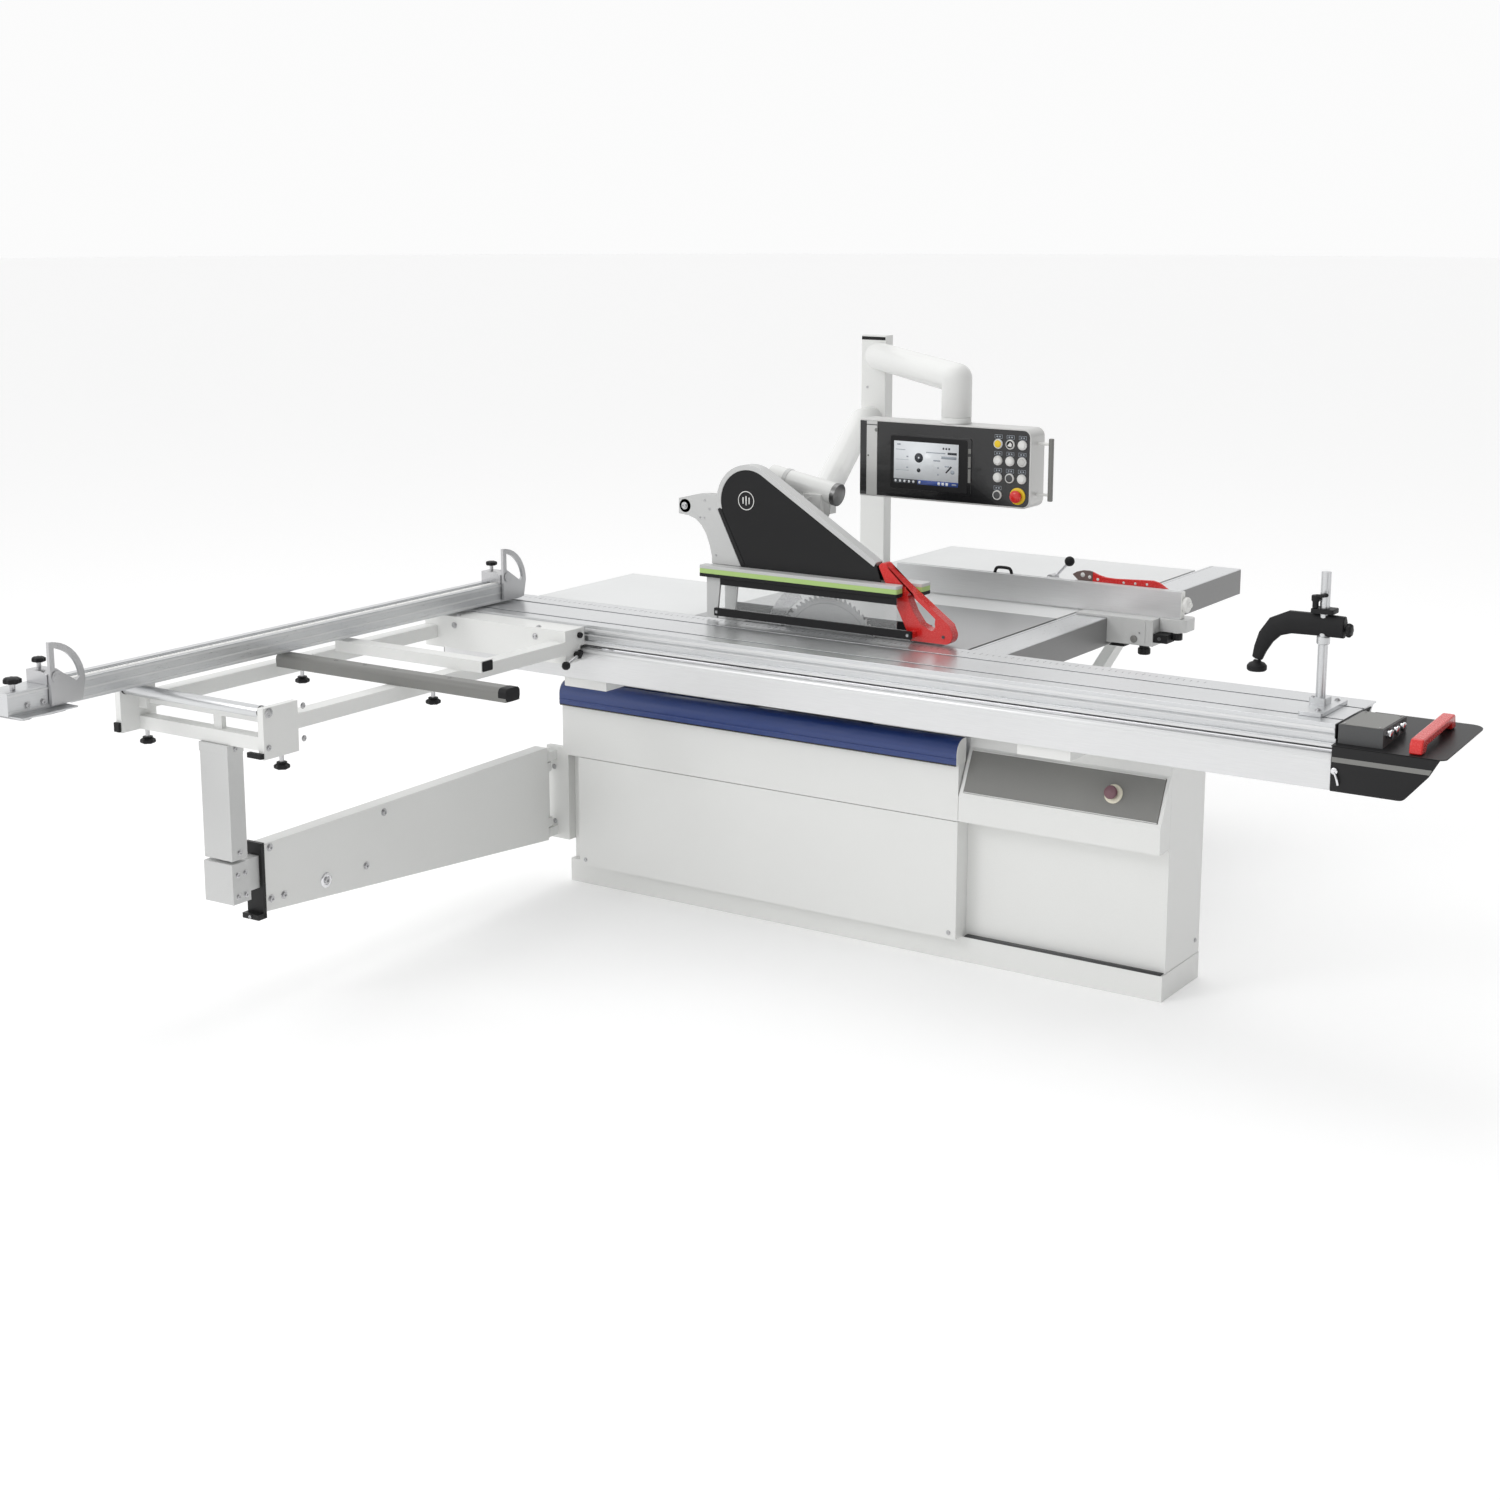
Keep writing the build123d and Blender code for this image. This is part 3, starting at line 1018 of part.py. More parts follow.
# ---------------------------------------------------------------- control panel
SCREEN = (820.0, 1100.0, 1271.0, 1442.0)
FASCIA_DEPTH = 6.0
ESTOP = (1272.0, 1279.0)


def button_spots():
    """Centres of the push-buttons: a grid that leaves out the place of the emergency stop."""
    grid = [(x, z) for z in BUTTON_Z for x in BUTTON_X]
    return [(x, z) for x, z in grid if math.hypot(x - ESTOP[0], z - ESTOP[1]) > 40]


def panel_boom():
    """Bent tube from the column to the top of the panel."""
    boom = tube_between((COLUMN_X + 20, COLUMN_Y - 26, BOOM_Z), (DROP_X, DROP_Y, BOOM_Z), BOOM_RADIUS)
    boom += Pos(DROP_X, DROP_Y, BOOM_Z) * Sphere(BOOM_RADIUS)
    boom += tube_between((DROP_X, DROP_Y, BOOM_Z), (DROP_X, DROP_Y, PANEL_Z1 + 20), BOOM_RADIUS)
    boom += tube_between((DROP_X, DROP_Y, PANEL_Z1 + 30), (DROP_X, DROP_Y, PANEL_Z1 - 30), 16)
    boom -= block(0, COLUMN_X + COLUMN_WIDTH, COLUMN_Y - COLUMN_DEPTH / 2, COLUMN_Y + 200, 1500, 1700)
    return boom


def panel_housing():
    """Rear housing of the control panel, turning on the boom's stub, with a side handle."""
    y0, y1 = PANEL_FRONT + FASCIA_DEPTH, PANEL_FRONT + PANEL_DEPTH
    housing = block(PANEL_X0, PANEL_X1, y0, y1, PANEL_Z0, PANEL_Z1)
    housing = rounded(housing, Axis.Z, 6)
    housing += Pos(DROP_X, DROP_Y, PANEL_Z1 + 9) * Cylinder(36, 20)
    housing -= Pos(DROP_X, DROP_Y, PANEL_Z1) * Cylinder(16 + PIN_CLEARANCE, 62)
    for x, z in button_spots():
        housing -= disc(x, z, BUTTON_RADIUS + 0.5, y0 - 5, y0 + 26)
    housing -= disc(*ESTOP, 19, y0 - 5, y0 + 26)
    handle = block(PANEL_X1 - 2, PANEL_X1 + 54, y0 + 32, y0 + 50, 1268, 1456)
    handle -= block(PANEL_X1 - 5, PANEL_X1 + 38, y0 + 30, y0 + 52, 1284, 1440)
    return housing + handle


def panel_fascia():
    """Front plate with a raised screen frame and the button holes."""
    x0, x1, z0, z1 = SCREEN
    y1 = PANEL_FRONT + FASCIA_DEPTH
    fascia = rounded(block(PANEL_X0, PANEL_X1, PANEL_FRONT, y1, PANEL_Z0, PANEL_Z1), Axis.Y, 5)
    fascia += block(x0, x1, PANEL_FRONT - 4, y1 - 1, z0, z1)
    fascia -= block(x0 + 12, x1 - 12, PANEL_FRONT - 5, PANEL_FRONT - 1, z0 + 12, z1 - 12)
    for x, z in button_spots():
        fascia -= disc(x, z, BUTTON_RADIUS + 0.5, PANEL_FRONT - 5, y1 + 1)
    return fascia - disc(*ESTOP, 12.5, PANEL_FRONT - 5, y1 + 1)


def push_button(x, z):
    """A push-button with a raised cap and a plunger."""
    button = disc(x, z, BUTTON_RADIUS, PANEL_FRONT - 9, PANEL_FRONT + 12)
    return button + disc(x, z, BUTTON_RADIUS + 4, PANEL_FRONT - 9, PANEL_FRONT - 5)


def panel_buttons():
    """All push-buttons of the panel."""
    return [push_button(x, z) for x, z in button_spots()]


def estop_button():
    """Mushroom emergency stop."""
    x, z = ESTOP
    stop = disc(x, z, 12, PANEL_FRONT - 10, PANEL_FRONT + 12)
    stop += disc(x, z, 19, PANEL_FRONT - 24, PANEL_FRONT - 9)
    return fillet(stop.edges().filter_by(GeomType.CIRCLE).sort_by(Axis.Y)[:1], 4)


save("rip_fence_carriage", rip_fence_carriage())
save("rip_fence_bar", rip_fence_bar())
save("rip_fence_lever", rip_fence_lever())
save("push_stick", push_stick())
save("tilt_frame", tilt_frame())
save("lift_slide", lift_slide())
save("saw_arbor", saw_arbor())
save("main_blade", main_blade())
save("scoring_blade", scoring_blade())
save("riving_knife", riving_knife())
save("motor", motor())
save("drive_belt", drive_belt())
save("guard_hood", guard_hood())
save("guard_bracket", *guard_bracket())
save("guard_bars", *guard_bars())
save("guard_window", *guard_window())
save("guard_nose", guard_nose())
save("guard_boom", guard_boom())
save("panel_boom", panel_boom())
save("panel_housing", panel_housing())
save("panel_fascia", panel_fascia())
save("panel_buttons", *panel_buttons())
save("estop_button", estop_button())
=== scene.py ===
import math

import bmesh
import bpy
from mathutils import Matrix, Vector


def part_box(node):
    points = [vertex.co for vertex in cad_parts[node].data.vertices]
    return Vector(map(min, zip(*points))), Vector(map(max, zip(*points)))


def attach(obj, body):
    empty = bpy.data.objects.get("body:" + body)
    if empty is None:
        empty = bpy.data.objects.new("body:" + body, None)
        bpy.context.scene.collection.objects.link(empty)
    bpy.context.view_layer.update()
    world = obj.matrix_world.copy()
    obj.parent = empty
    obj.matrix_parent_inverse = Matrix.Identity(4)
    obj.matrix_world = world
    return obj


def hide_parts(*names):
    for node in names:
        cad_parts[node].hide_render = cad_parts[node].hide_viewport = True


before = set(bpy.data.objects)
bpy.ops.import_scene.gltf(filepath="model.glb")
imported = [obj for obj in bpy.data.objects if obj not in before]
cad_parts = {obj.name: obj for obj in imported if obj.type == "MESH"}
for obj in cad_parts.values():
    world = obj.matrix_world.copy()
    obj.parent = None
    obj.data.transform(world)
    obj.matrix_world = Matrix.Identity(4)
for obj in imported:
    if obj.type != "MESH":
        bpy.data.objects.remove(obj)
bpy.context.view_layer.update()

MM = 0.001


# ------------------------------------------------------------------ camera, light and floor
CAMERA_PLACE = (3.4586, -6.0597, 2.2418)
CAMERA_TURN = (78.37, 0.0, 33.64)
CAMERA_LENS = 55.86
CAMERA_SHIFT = -0.0653


def make_camera():
    data = bpy.data.cameras.new("camera")
    data.lens = CAMERA_LENS
    data.sensor_width = 36.0
    data.shift_y = CAMERA_SHIFT
    data.clip_end = 100.0
    camera = bpy.data.objects.new("camera", data)
    camera.location = CAMERA_PLACE
    camera.rotation_euler = [math.radians(a) for a in CAMERA_TURN]
    bpy.context.scene.collection.objects.link(camera)
    bpy.context.scene.camera = camera


def area_light(name, place, size, power, target=(0.2, 0.0, 0.7)):
    data = bpy.data.lights.new(name, "AREA")
    data.shape = "RECTANGLE"
    data.size, data.size_y = size
    data.energy = power
    light = bpy.data.objects.new(name, data)
    light.location = place
    light.rotation_euler = (Vector(target) - Vector(place)).to_track_quat("-Z", "Y").to_euler()
    bpy.context.scene.collection.objects.link(light)


def make_stage():
    world = bpy.data.worlds.new("studio")
    bpy.context.scene.world = world
    world.use_nodes = True
    background = world.node_tree.nodes["Background"]
    background.inputs["Color"].default_value = (1.0, 1.0, 1.0, 1.0)
    place = world.node_tree.nodes.new("ShaderNodeTexCoord")
    split = world.node_tree.nodes.new("ShaderNodeSeparateXYZ")
    fade = world.node_tree.nodes.new("ShaderNodeMapRange")
    fade.interpolation_type = "SMOOTHSTEP"
    fade.inputs["From Min"].default_value = 0.15
    fade.inputs["From Max"].default_value = 0.75
    fade.inputs["To Min"].default_value = 0.97
    fade.inputs["To Max"].default_value = 0.30
    links = world.node_tree.links
    links.new(place.outputs["Generated"], split.inputs["Vector"])
    links.new(split.outputs["X"], fade.inputs["Value"])
    links.new(fade.outputs["Result"], background.inputs["Strength"])
    area_light("key", (-4.0, -7.5, 6.0), (3.0, 3.0), 120)
    area_light("top", (-1.0, 1.5, 7.0), (4.0, 4.0), 70)
    bpy.ops.mesh.primitive_circle_add(vertices=96, radius=60.0, fill_type="NGON")
    floor = bpy.context.object
    floor.name = "studio_floor"
    paint = finish("floor_paint", (0.93, 0.93, 0.93), 0.8, vary=0.0, rough_vary=0.0, bump=0.0)
    shader = paint.node_tree.nodes["Principled BSDF"]
    shader.inputs["Emission Color"].default_value = (1.0, 1.0, 1.0, 1.0)
    shader.inputs["Emission Strength"].default_value = 0.16
    floor.data.materials.append(paint)
    bpy.context.scene.view_settings.view_transform = "Standard"


# ------------------------------------------------------------------ materials
def finish(name, colour, roughness, metallic=0.0, scale=40.0, stretch=(1.0, 1.0, 1.0), vary=0.08,
           rough_vary=0.12, bump=0.04, wear=None, coat=0.0, clear=0.0, specular=0.5):
    """A procedural finish: two scales of colour variation, uneven roughness, bump and worn edges."""
    material = bpy.data.materials.new(name)
    material.use_nodes = True
    nodes, links = material.node_tree.nodes, material.node_tree.links
    shader = nodes["Principled BSDF"]
    shader.inputs["Metallic"].default_value = metallic
    shader.inputs["Coat Weight"].default_value = coat
    shader.inputs["Specular IOR Level"].default_value = specular
    shader.inputs["Alpha"].default_value = 1.0 - clear
    place = nodes.new("ShaderNodeTexCoord")
    mapping = nodes.new("ShaderNodeMapping")
    mapping.inputs["Scale"].default_value = stretch
    links.new(place.outputs["Object"], mapping.inputs["Vector"])
    fine = nodes.new("ShaderNodeTexNoise")
    fine.inputs["Scale"].default_value = scale
    fine.inputs["Detail"].default_value = 6.0
    broad = nodes.new("ShaderNodeTexNoise")
    broad.inputs["Scale"].default_value = 2.2
    broad.inputs["Detail"].default_value = 3.0
    links.new(mapping.outputs["Vector"], fine.inputs["Vector"])
    links.new(place.outputs["Object"], broad.inputs["Vector"])
    mixed = nodes.new("ShaderNodeMath")
    mixed.operation = "MULTIPLY_ADD"
    mixed.inputs[1].default_value = 0.45
    links.new(broad.outputs["Fac"], mixed.inputs[0])
    halved = nodes.new("ShaderNodeMath")
    halved.operation = "MULTIPLY"
    halved.inputs[1].default_value = 0.55
    links.new(fine.outputs["Fac"], halved.inputs[0])
    links.new(halved.outputs[0], mixed.inputs[2])
    ramp = nodes.new("ShaderNodeValToRGB")
    ramp.color_ramp.elements[0].position = 0.3
    ramp.color_ramp.elements[1].position = 0.7
    ramp.color_ramp.elements[0].color = [c * (1 - vary) for c in colour] + [1.0]
    ramp.color_ramp.elements[1].color = [min(1.0, c * (1 + vary)) for c in colour] + [1.0]
    links.new(mixed.outputs[0], ramp.inputs["Fac"])
    surface = ramp.outputs["Color"]
    if wear:
        edge = nodes.new("ShaderNodeNewGeometry")
        mask = nodes.new("ShaderNodeMapRange")
        mask.inputs["From Min"].default_value = 0.54
        mask.inputs["From Max"].default_value = 0.62
        mask.inputs["To Max"].default_value = 0.55
        links.new(edge.outputs["Pointiness"], mask.inputs["Value"])
        worn = nodes.new("ShaderNodeMix")
        worn.data_type = "RGBA"
        links.new(mask.outputs["Result"], worn.inputs["Factor"])
        links.new(surface, worn.inputs["A"])
        worn.inputs["B"].default_value = (*wear, 1.0)
        surface = worn.outputs["Result"]
    links.new(surface, shader.inputs["Base Color"])
    rough = nodes.new("ShaderNodeMapRange")
    rough.inputs["To Min"].default_value = max(0.02, roughness * (1 - rough_vary))
    rough.inputs["To Max"].default_value = min(1.0, roughness * (1 + rough_vary))
    links.new(fine.outputs["Fac"], rough.inputs["Value"])
    links.new(rough.outputs["Result"], shader.inputs["Roughness"])
    if bump:
        relief = nodes.new("ShaderNodeBump")
        relief.inputs["Strength"].default_value = bump
        relief.inputs["Distance"].default_value = 0.0006
        links.new(fine.outputs["Fac"], relief.inputs["Height"])
        links.new(relief.outputs["Normal"], shader.inputs["Normal"])
    return material


make_camera()
make_stage()

ALONG_X = (0.03, 1.0, 1.0)
ALONG_Y = (1.0, 0.03, 1.0)
ALONG_Z = (1.0, 1.0, 0.03)
DULL = 0.22
WHITE = finish("white_paint", (0.80, 0.805, 0.79), 0.42, scale=420, vary=0.02, bump=0.10, coat=0.15)
LIGHT_GREY = finish("light_grey_paint", (0.60, 0.605, 0.60), 0.40, scale=420, vary=0.03, bump=0.10, coat=0.1)
MID_GREY = finish("mid_grey_paint", (0.21, 0.21, 0.20), 0.45, scale=380, vary=0.05, bump=0.12)
DARK_GREY = finish("dark_grey_paint", (0.07, 0.072, 0.074), 0.45, scale=380, vary=0.08, bump=0.12)
BLUE = finish("blue_paint", (0.016, 0.045, 0.20), 0.30, scale=300, vary=0.05, bump=0.06, coat=0.3)
BLACK = finish("black_paint", (0.012, 0.012, 0.013), 0.36, scale=380, vary=0.12, bump=0.10,
               wear=(0.05, 0.05, 0.05), specular=DULL)
BLACK_PLASTIC = finish("black_plastic", (0.014, 0.014, 0.015), 0.5, scale=900, vary=0.12, bump=0.22,
                       specular=DULL)
GLOSS_BLACK = finish("gloss_black", (0.01, 0.01, 0.011), 0.16, scale=120, vary=0.1, bump=0.01, coat=0.4)
RED = finish("red_plastic", (0.70, 0.018, 0.016), 0.27, scale=300, vary=0.05, bump=0.05, coat=0.35)
GREEN = finish("green_strip", (0.45, 0.65, 0.22), 0.5, scale=500, vary=0.04, bump=0.12)
YELLOW = finish("yellow_plastic", (0.90, 0.62, 0.02), 0.4, scale=500, vary=0.03, bump=0.06)
CREAM = finish("cream_plastic", (0.80, 0.76, 0.62), 0.45, scale=500, vary=0.03, bump=0.06)
MAUVE = finish("mauve_plastic", (0.20, 0.10, 0.12), 0.4, scale=500, vary=0.05, bump=0.08)
WHITE_PLASTIC = finish("white_plastic", (0.82, 0.82, 0.80), 0.4, scale=500, vary=0.02, bump=0.06)
ANODISED_X = finish("anodised_x", (0.66, 0.67, 0.68), 0.30, 0.85, scale=900, stretch=ALONG_X, vary=0.07,
                    rough_vary=0.25, bump=0.10)
ANODISED_Y = finish("anodised_y", (0.66, 0.67, 0.68), 0.30, 0.85, scale=900, stretch=ALONG_Y, vary=0.07,
                    rough_vary=0.25, bump=0.10)
BEAM_METAL = finish("beam_metal", (0.74, 0.745, 0.75), 0.34, 0.6, scale=700, stretch=ALONG_X, vary=0.05,
                    rough_vary=0.2, bump=0.06)
STEEL = finish("ground_steel", (0.56, 0.56, 0.57), 0.28, 1.0, scale=500, vary=0.07, rough_vary=0.3, bump=0.06)
BLADE_STEEL = finish("blade_steel", (0.40, 0.405, 0.41), 0.48, 0.55, scale=500, vary=0.05,
                     rough_vary=0.2, bump=0.05)
STEEL_Z = finish("turned_steel", (0.60, 0.60, 0.61), 0.24, 1.0, scale=700, stretch=ALONG_Z, vary=0.06,
                 bump=0.05)
CHROME = finish("bright_chrome", (0.80, 0.80, 0.82), 0.10, 1.0, scale=90, vary=0.03, bump=0.01)
CAST_IRON = finish("cast_iron", (0.42, 0.425, 0.43), 0.34, 0.75, scale=600, stretch=ALONG_Y, vary=0.09,
                   rough_vary=0.3, bump=0.12)
TABLE_GREY = finish("table_grey", (0.76, 0.77, 0.77), 0.4, 0.08, scale=500, stretch=ALONG_Y, vary=0.04,
                    bump=0.08)
RUBBER = finish("rubber", (0.018, 0.018, 0.018), 0.75, scale=900, vary=0.15, bump=0.25, specular=DULL)
MOTOR = finish("motor_paint", (0.05, 0.075, 0.13), 0.42, scale=350, vary=0.08, bump=0.12)
CLEAR = finish("clear_panel", (0.94, 0.96, 0.96), 0.06, scale=60, vary=0.01, bump=0.0, clear=0.88)
SCREEN_PALE = finish("screen_pale", (0.80, 0.83, 0.86), 0.15, scale=20, vary=0.02, bump=0.0)
SCREEN_BLUE = finish("screen_blue", (0.03, 0.07, 0.30), 0.15, scale=20, vary=0.05, bump=0.0)
SCREEN_DARK = finish("screen_dark", (0.03, 0.035, 0.045), 0.15, scale=20, vary=0.1, bump=0.0)
SCREEN_MID = finish("screen_mid", (0.36, 0.40, 0.45), 0.15, scale=20, vary=0.05, bump=0.0)
MOTOR_GREY = finish("brushed_dark", (0.20, 0.20, 0.20), 0.34, 0.8, scale=500, stretch=ALONG_Z, vary=0.25,
                    bump=0.1)
PANEL_METAL = finish("panel_metal", (0.62, 0.62, 0.61), 0.34, 0.45, scale=700, stretch=ALONG_X, vary=0.04,
                     bump=0.05)
# Darker grey for the rip rail's front and right faces: painted shade and painted dark reflection on an
# anodised rail that is lighter on top.
RAIL_FACE_SHADE = finish("rail_painted_shade", (0.24, 0.24, 0.24), 0.40, 0.35, scale=700, stretch=ALONG_Y, vary=0.06,
                   bump=0.06)
CREAM_GREY = finish("lit_cap", (0.60, 0.60, 0.58), 0.35, scale=500, vary=0.04, bump=0.05)
STICK_DULL = finish("stick_dull", (0.16, 0.11, 0.10), 0.55, scale=500, vary=0.15, bump=0.15)


def dress(node, material, bevel=1.2, segments=2):
    """Gives a CAD node its finish and a small rounding on its sharp edges, in millimetres."""
    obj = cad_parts[node]
    for part in obj.material_slots:
        part.link = "OBJECT"
        part.material = material
    weld = obj.modifiers.new("weld", "WELD")
    weld.merge_threshold = 1e-5
    if bevel:
        edge = obj.modifiers.new("edge", "BEVEL")
        edge.width = bevel * MM
        edge.segments = segments
        edge.limit_method = "ANGLE"
        edge.angle_limit = math.radians(40)
        edge.use_clamp_overlap = True
        edge.harden_normals = True


CAD_FINISH = [
    (WHITE, 1.5, ["base_frame", "lower_front_cover", "upper_front_cover", "control_housing", "swing_arm",
                  "arm_hinge_bracket", "table_supports", "outrigger_frame", "column"]),
    (BLUE, 1.5, ["blue_cap"]),
    (MID_GREY, 0.8, ["control_plate"]),
    (BEAM_METAL, 1.0, ["slide_beam"]),
    (CAST_IRON, 1.0, ["main_table"]),
    (TABLE_GREY, 1.2, ["outfeed_table", "side_table"]),
    (ANODISED_Y, 0.8, ["rip_rail", "crosscut_fence", "fence_extension"]),
    (ANODISED_X, 0.8, ["carriage_profile", "support_roller"]),
    (BEAM_METAL, 0.8, ["rip_fence_bar"]),
    (MID_GREY, 0.8, ["mitre_bar"]),
    (LIGHT_GREY, 1.5, ["support_post", "guard_bracket", "arm_extension", "rip_fence_carriage"]),
    (WHITE, 1.5, ["guard_boom", "panel_boom"]),
    (BLACK, 1.2, ["guard_hood"]),
    (DARK_GREY, 1.5, ["end_tray", "button_box"]),
    (BLACK_PLASTIC, 1.5, ["stop_base_inner", "stop_base_outer", "panel_housing", "guard_bars"]),
    (GLOSS_BLACK, 0.8, ["panel_fascia"]),
    (STEEL, 0.8, ["stop_flap_inner", "stop_flap_outer", "saw_arbor", "riving_knife", "scoring_blade"]),
    (BLADE_STEEL, 0.2, ["main_blade"]),
    (MID_GREY, 2.0, ["clamp_arm", "tilt_frame", "lift_slide"]),
    (RED, 3.5, ["guard_nose"]),
    (RED, 1.5, ["push_stick"]),
    (CLEAR, 0.3, ["guard_window"]),
    (MOTOR, 1.0, ["motor"]),
    (RUBBER, 0.6, ["drive_belt"]),
    (STEEL_Z, 0.8, ["clamp_post"]),
    (RUBBER, 1.5, ["clamp_pad"]),
    (BLACK_PLASTIC, 2.0, ["clamp_lever", "rip_fence_lever", "frame_knobs"]),
    (RED, 4.0, ["push_handle"]),
    (CHROME, 1.0, ["box_buttons"]),
    (WHITE_PLASTIC, 1.0, ["panel_buttons"]),
    (RED, 1.0, ["estop_button"]),
    (MAUVE, 1.0, ["main_button"]),
]
for material, bevel, names in CAD_FINISH:
    for name in names:
        dress(name, material, bevel)

# ------------------------------------------------------------------ mesh building
# Pieces are drawn in millimetres from the plinth's left front corner, which the CAD boxes locate.
COVER_STANDS_OUT = 0.040
ORIGIN = Vector((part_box("base_frame")[0].x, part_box("lower_front_cover")[0].y + COVER_STANDS_OUT, 0.0))


def at(x, y, z):
    return ORIGIN + Vector((x, y, z)) * MM


def node_box(node):
    """A CAD node's corners in the same millimetres."""
    return [(corner - ORIGIN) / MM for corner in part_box(node)]


def arc(centre, radius, start, end, steps=8):
    """Points on an arc in a plane, angles in degrees."""
    angles = [math.radians(start + (end - start) * i / steps) for i in range(steps + 1)]
    return [(centre[0] + radius * math.cos(a), centre[1] + radius * math.sin(a)) for a in angles]


def rounded_box(u0, u1, v0, v1, radius, steps=4):
    """A rectangle outline with rounded corners."""
    r = radius
    return (arc((u1 - r, v0 + r), r, -90, 0, steps) + arc((u1 - r, v1 - r), r, 0, 90, steps)
            + arc((u0 + r, v1 - r), r, 90, 180, steps) + arc((u0 + r, v0 + r), r, 180, 270, steps))


class Piece:
    """A mesh put together from shapes, each with its own finish, that rides on one body."""

    def __init__(self, name, body, bevel=0.8):
        self.name, self.body, self.bevel = name, body, bevel
        self.mesh = bmesh.new()
        self.finishes = []

    def paint(self, faces, material):
        if material not in self.finishes:
            self.finishes.append(material)
        for face in faces:
            face.material_index = self.finishes.index(material)
            face.smooth = True

    def loft(self, rings, material, closed=False, caps=True):
        """Joins rings of points, each in millimetres, into a skin."""
        rows = [[self.mesh.verts.new(at(*p)) for p in ring] for ring in rings]
        faces = []
        count = len(rows[0])
        for a, b in zip(rows, rows[1:] + (rows[:1] if closed else [])):
            for i in range(count):
                j = (i + 1) % count
                faces.append(self.mesh.faces.new((a[i], a[j], b[j], b[i])))
        if caps and not closed:
            faces.append(self.mesh.faces.new(list(reversed(rows[0]))))
            faces.append(self.mesh.faces.new(rows[-1]))
        self.paint(faces, material)

    def prism(self, outline, axis, low, high, material):
        """Extrudes an outline along x, y or z; its points are the other two axes in order."""
        order = {"x": lambda u, v, w: (w, u, v),
                 "y": lambda u, v, w: (u, w, v),
                 "z": lambda u, v, w: (u, v, w)}
        self.loft([[order[axis](u, v, w) for u, v in outline] for w in (low, high)], material)

    def box(self, x0, x1, y0, y1, z0, z1, material):
        self.prism([(x0, y0), (x1, y0), (x1, y1), (x0, y1)], "z", z0, z1, material)

    def lathe(self, profile, centre, axis, material, sides=32, lobes=0, lobe_depth=0.12, closed=False):
        """Turns (radius, height) points round an axis through a centre."""
        normal = Vector(axis).normalized()
        side = normal.orthogonal().normalized()
        other = normal.cross(side)
        rings = []
        for radius, height in profile:
            ring = []
            for i in range(sides):
                turn = 2 * math.pi * i / sides
                r = radius * (1 + lobe_depth * math.cos(lobes * turn)) if lobes else radius
                spoke = side * math.cos(turn) + other * math.sin(turn)
                ring.append(Vector(centre) + normal * height + spoke * r)
            rings.append(ring)
        self.loft(rings, material, closed=closed)

    def sweep(self, points, radius, material, sides=16, flat=1.0):
        """A round bar along a smooth line through some points."""
        path = smooth_path([Vector(p) for p in points])
        up = Vector((0, 0, 1))
        rings = []
        for i, p in enumerate(path):
            ahead = path[min(i + 1, len(path) - 1)] - path[max(i - 1, 0)]
            ahead.normalize()
            side = ahead.cross(up)
            if side.length < 0.1:
                side = ahead.cross(Vector((0, 1, 0)))
            side.normalize()
            up = side.cross(ahead).normalized()
            turns = [2 * math.pi * k / sides for k in range(sides)]
            rings.append([p + side * math.cos(t) * radius + up * math.sin(t) * radius * flat for t in turns])
        self.loft(rings, material)

    def bolt(self, centre, axis, radius, material, washer=True, head=0.55):
        """A hexagon-socket head on a washer, standing on a surface."""
        if washer:
            self.lathe([(radius * 1.45, -0.3), (radius * 1.45, radius * 0.2)], centre, axis, material, 24)
        top = radius * head + radius * 0.2
        inner = radius * 0.52
        self.lathe([(radius, 0), (radius, top - radius * 0.12), (radius * 0.88, top), (inner, top),
                    (inner * 0.98, top - radius * 0.35)], centre, axis, material, 24)

    def bolts(self, places, axis, radius, material, **kind):
        for place in places:
            self.bolt(place, axis, radius, material, **kind)

    def done(self, *replaced, slot=None):
        """Makes the object, puts it on its body and states the CAD nodes that it replaces."""
        bmesh.ops.recalc_face_normals(self.mesh, faces=self.mesh.faces)
        data = bpy.data.meshes.new(self.name)
        self.mesh.to_mesh(data)
        self.mesh.free()
        obj = bpy.data.objects.new(self.name, data)
        bpy.context.scene.collection.objects.link(obj)
        for material in self.finishes:
            data.materials.append(material)
        if self.bevel:
            edge = obj.modifiers.new("edge", "BEVEL")
            edge.width = self.bevel * MM
            edge.segments = 2
            edge.limit_method = "ANGLE"
            edge.angle_limit = math.radians(38)
            edge.harden_normals = True
        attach(obj, self.body)
        if replaced:
            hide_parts(*replaced)
        return obj


def smooth_path(points, steps=6):
    """A Catmull-Rom line through the points."""
    if len(points) < 3:
        return points
    path = []
    ends = [points[0] * 2 - points[1]] + points + [points[-1] * 2 - points[-2]]
    for a, b, c, d in zip(ends, ends[1:], ends[2:], ends[3:]):
        for i in range(steps):
            t = i / steps
            path.append(0.5 * ((2 * b) + (c - a) * t + (2 * a - 5 * b + 4 * c - d) * t * t
                               + (3 * b - a - 3 * c + d) * t ** 3))
    return path + [points[-1]]


RIGHT = (1, 0, 0)
FRONT, BACK = (0, -1, 0), (0, 1, 0)
UP, DOWN = (0, 0, 1), (0, 0, -1)


def star_knob(piece, centre, axis, radius, height, stem=0):
    """A lobed clamp knob with a stem."""
    piece.lathe([(radius * 0.8, stem), (radius, stem + height * 0.15), (radius, stem + height * 0.8),
                 (radius * 0.72, stem + height)], centre, axis, BLACK_PLASTIC, 48, lobes=7, lobe_depth=0.09)
    if stem:
        piece.lathe([(radius * 0.3, 0), (radius * 0.3, stem + 1)], centre, axis, STEEL, 20)


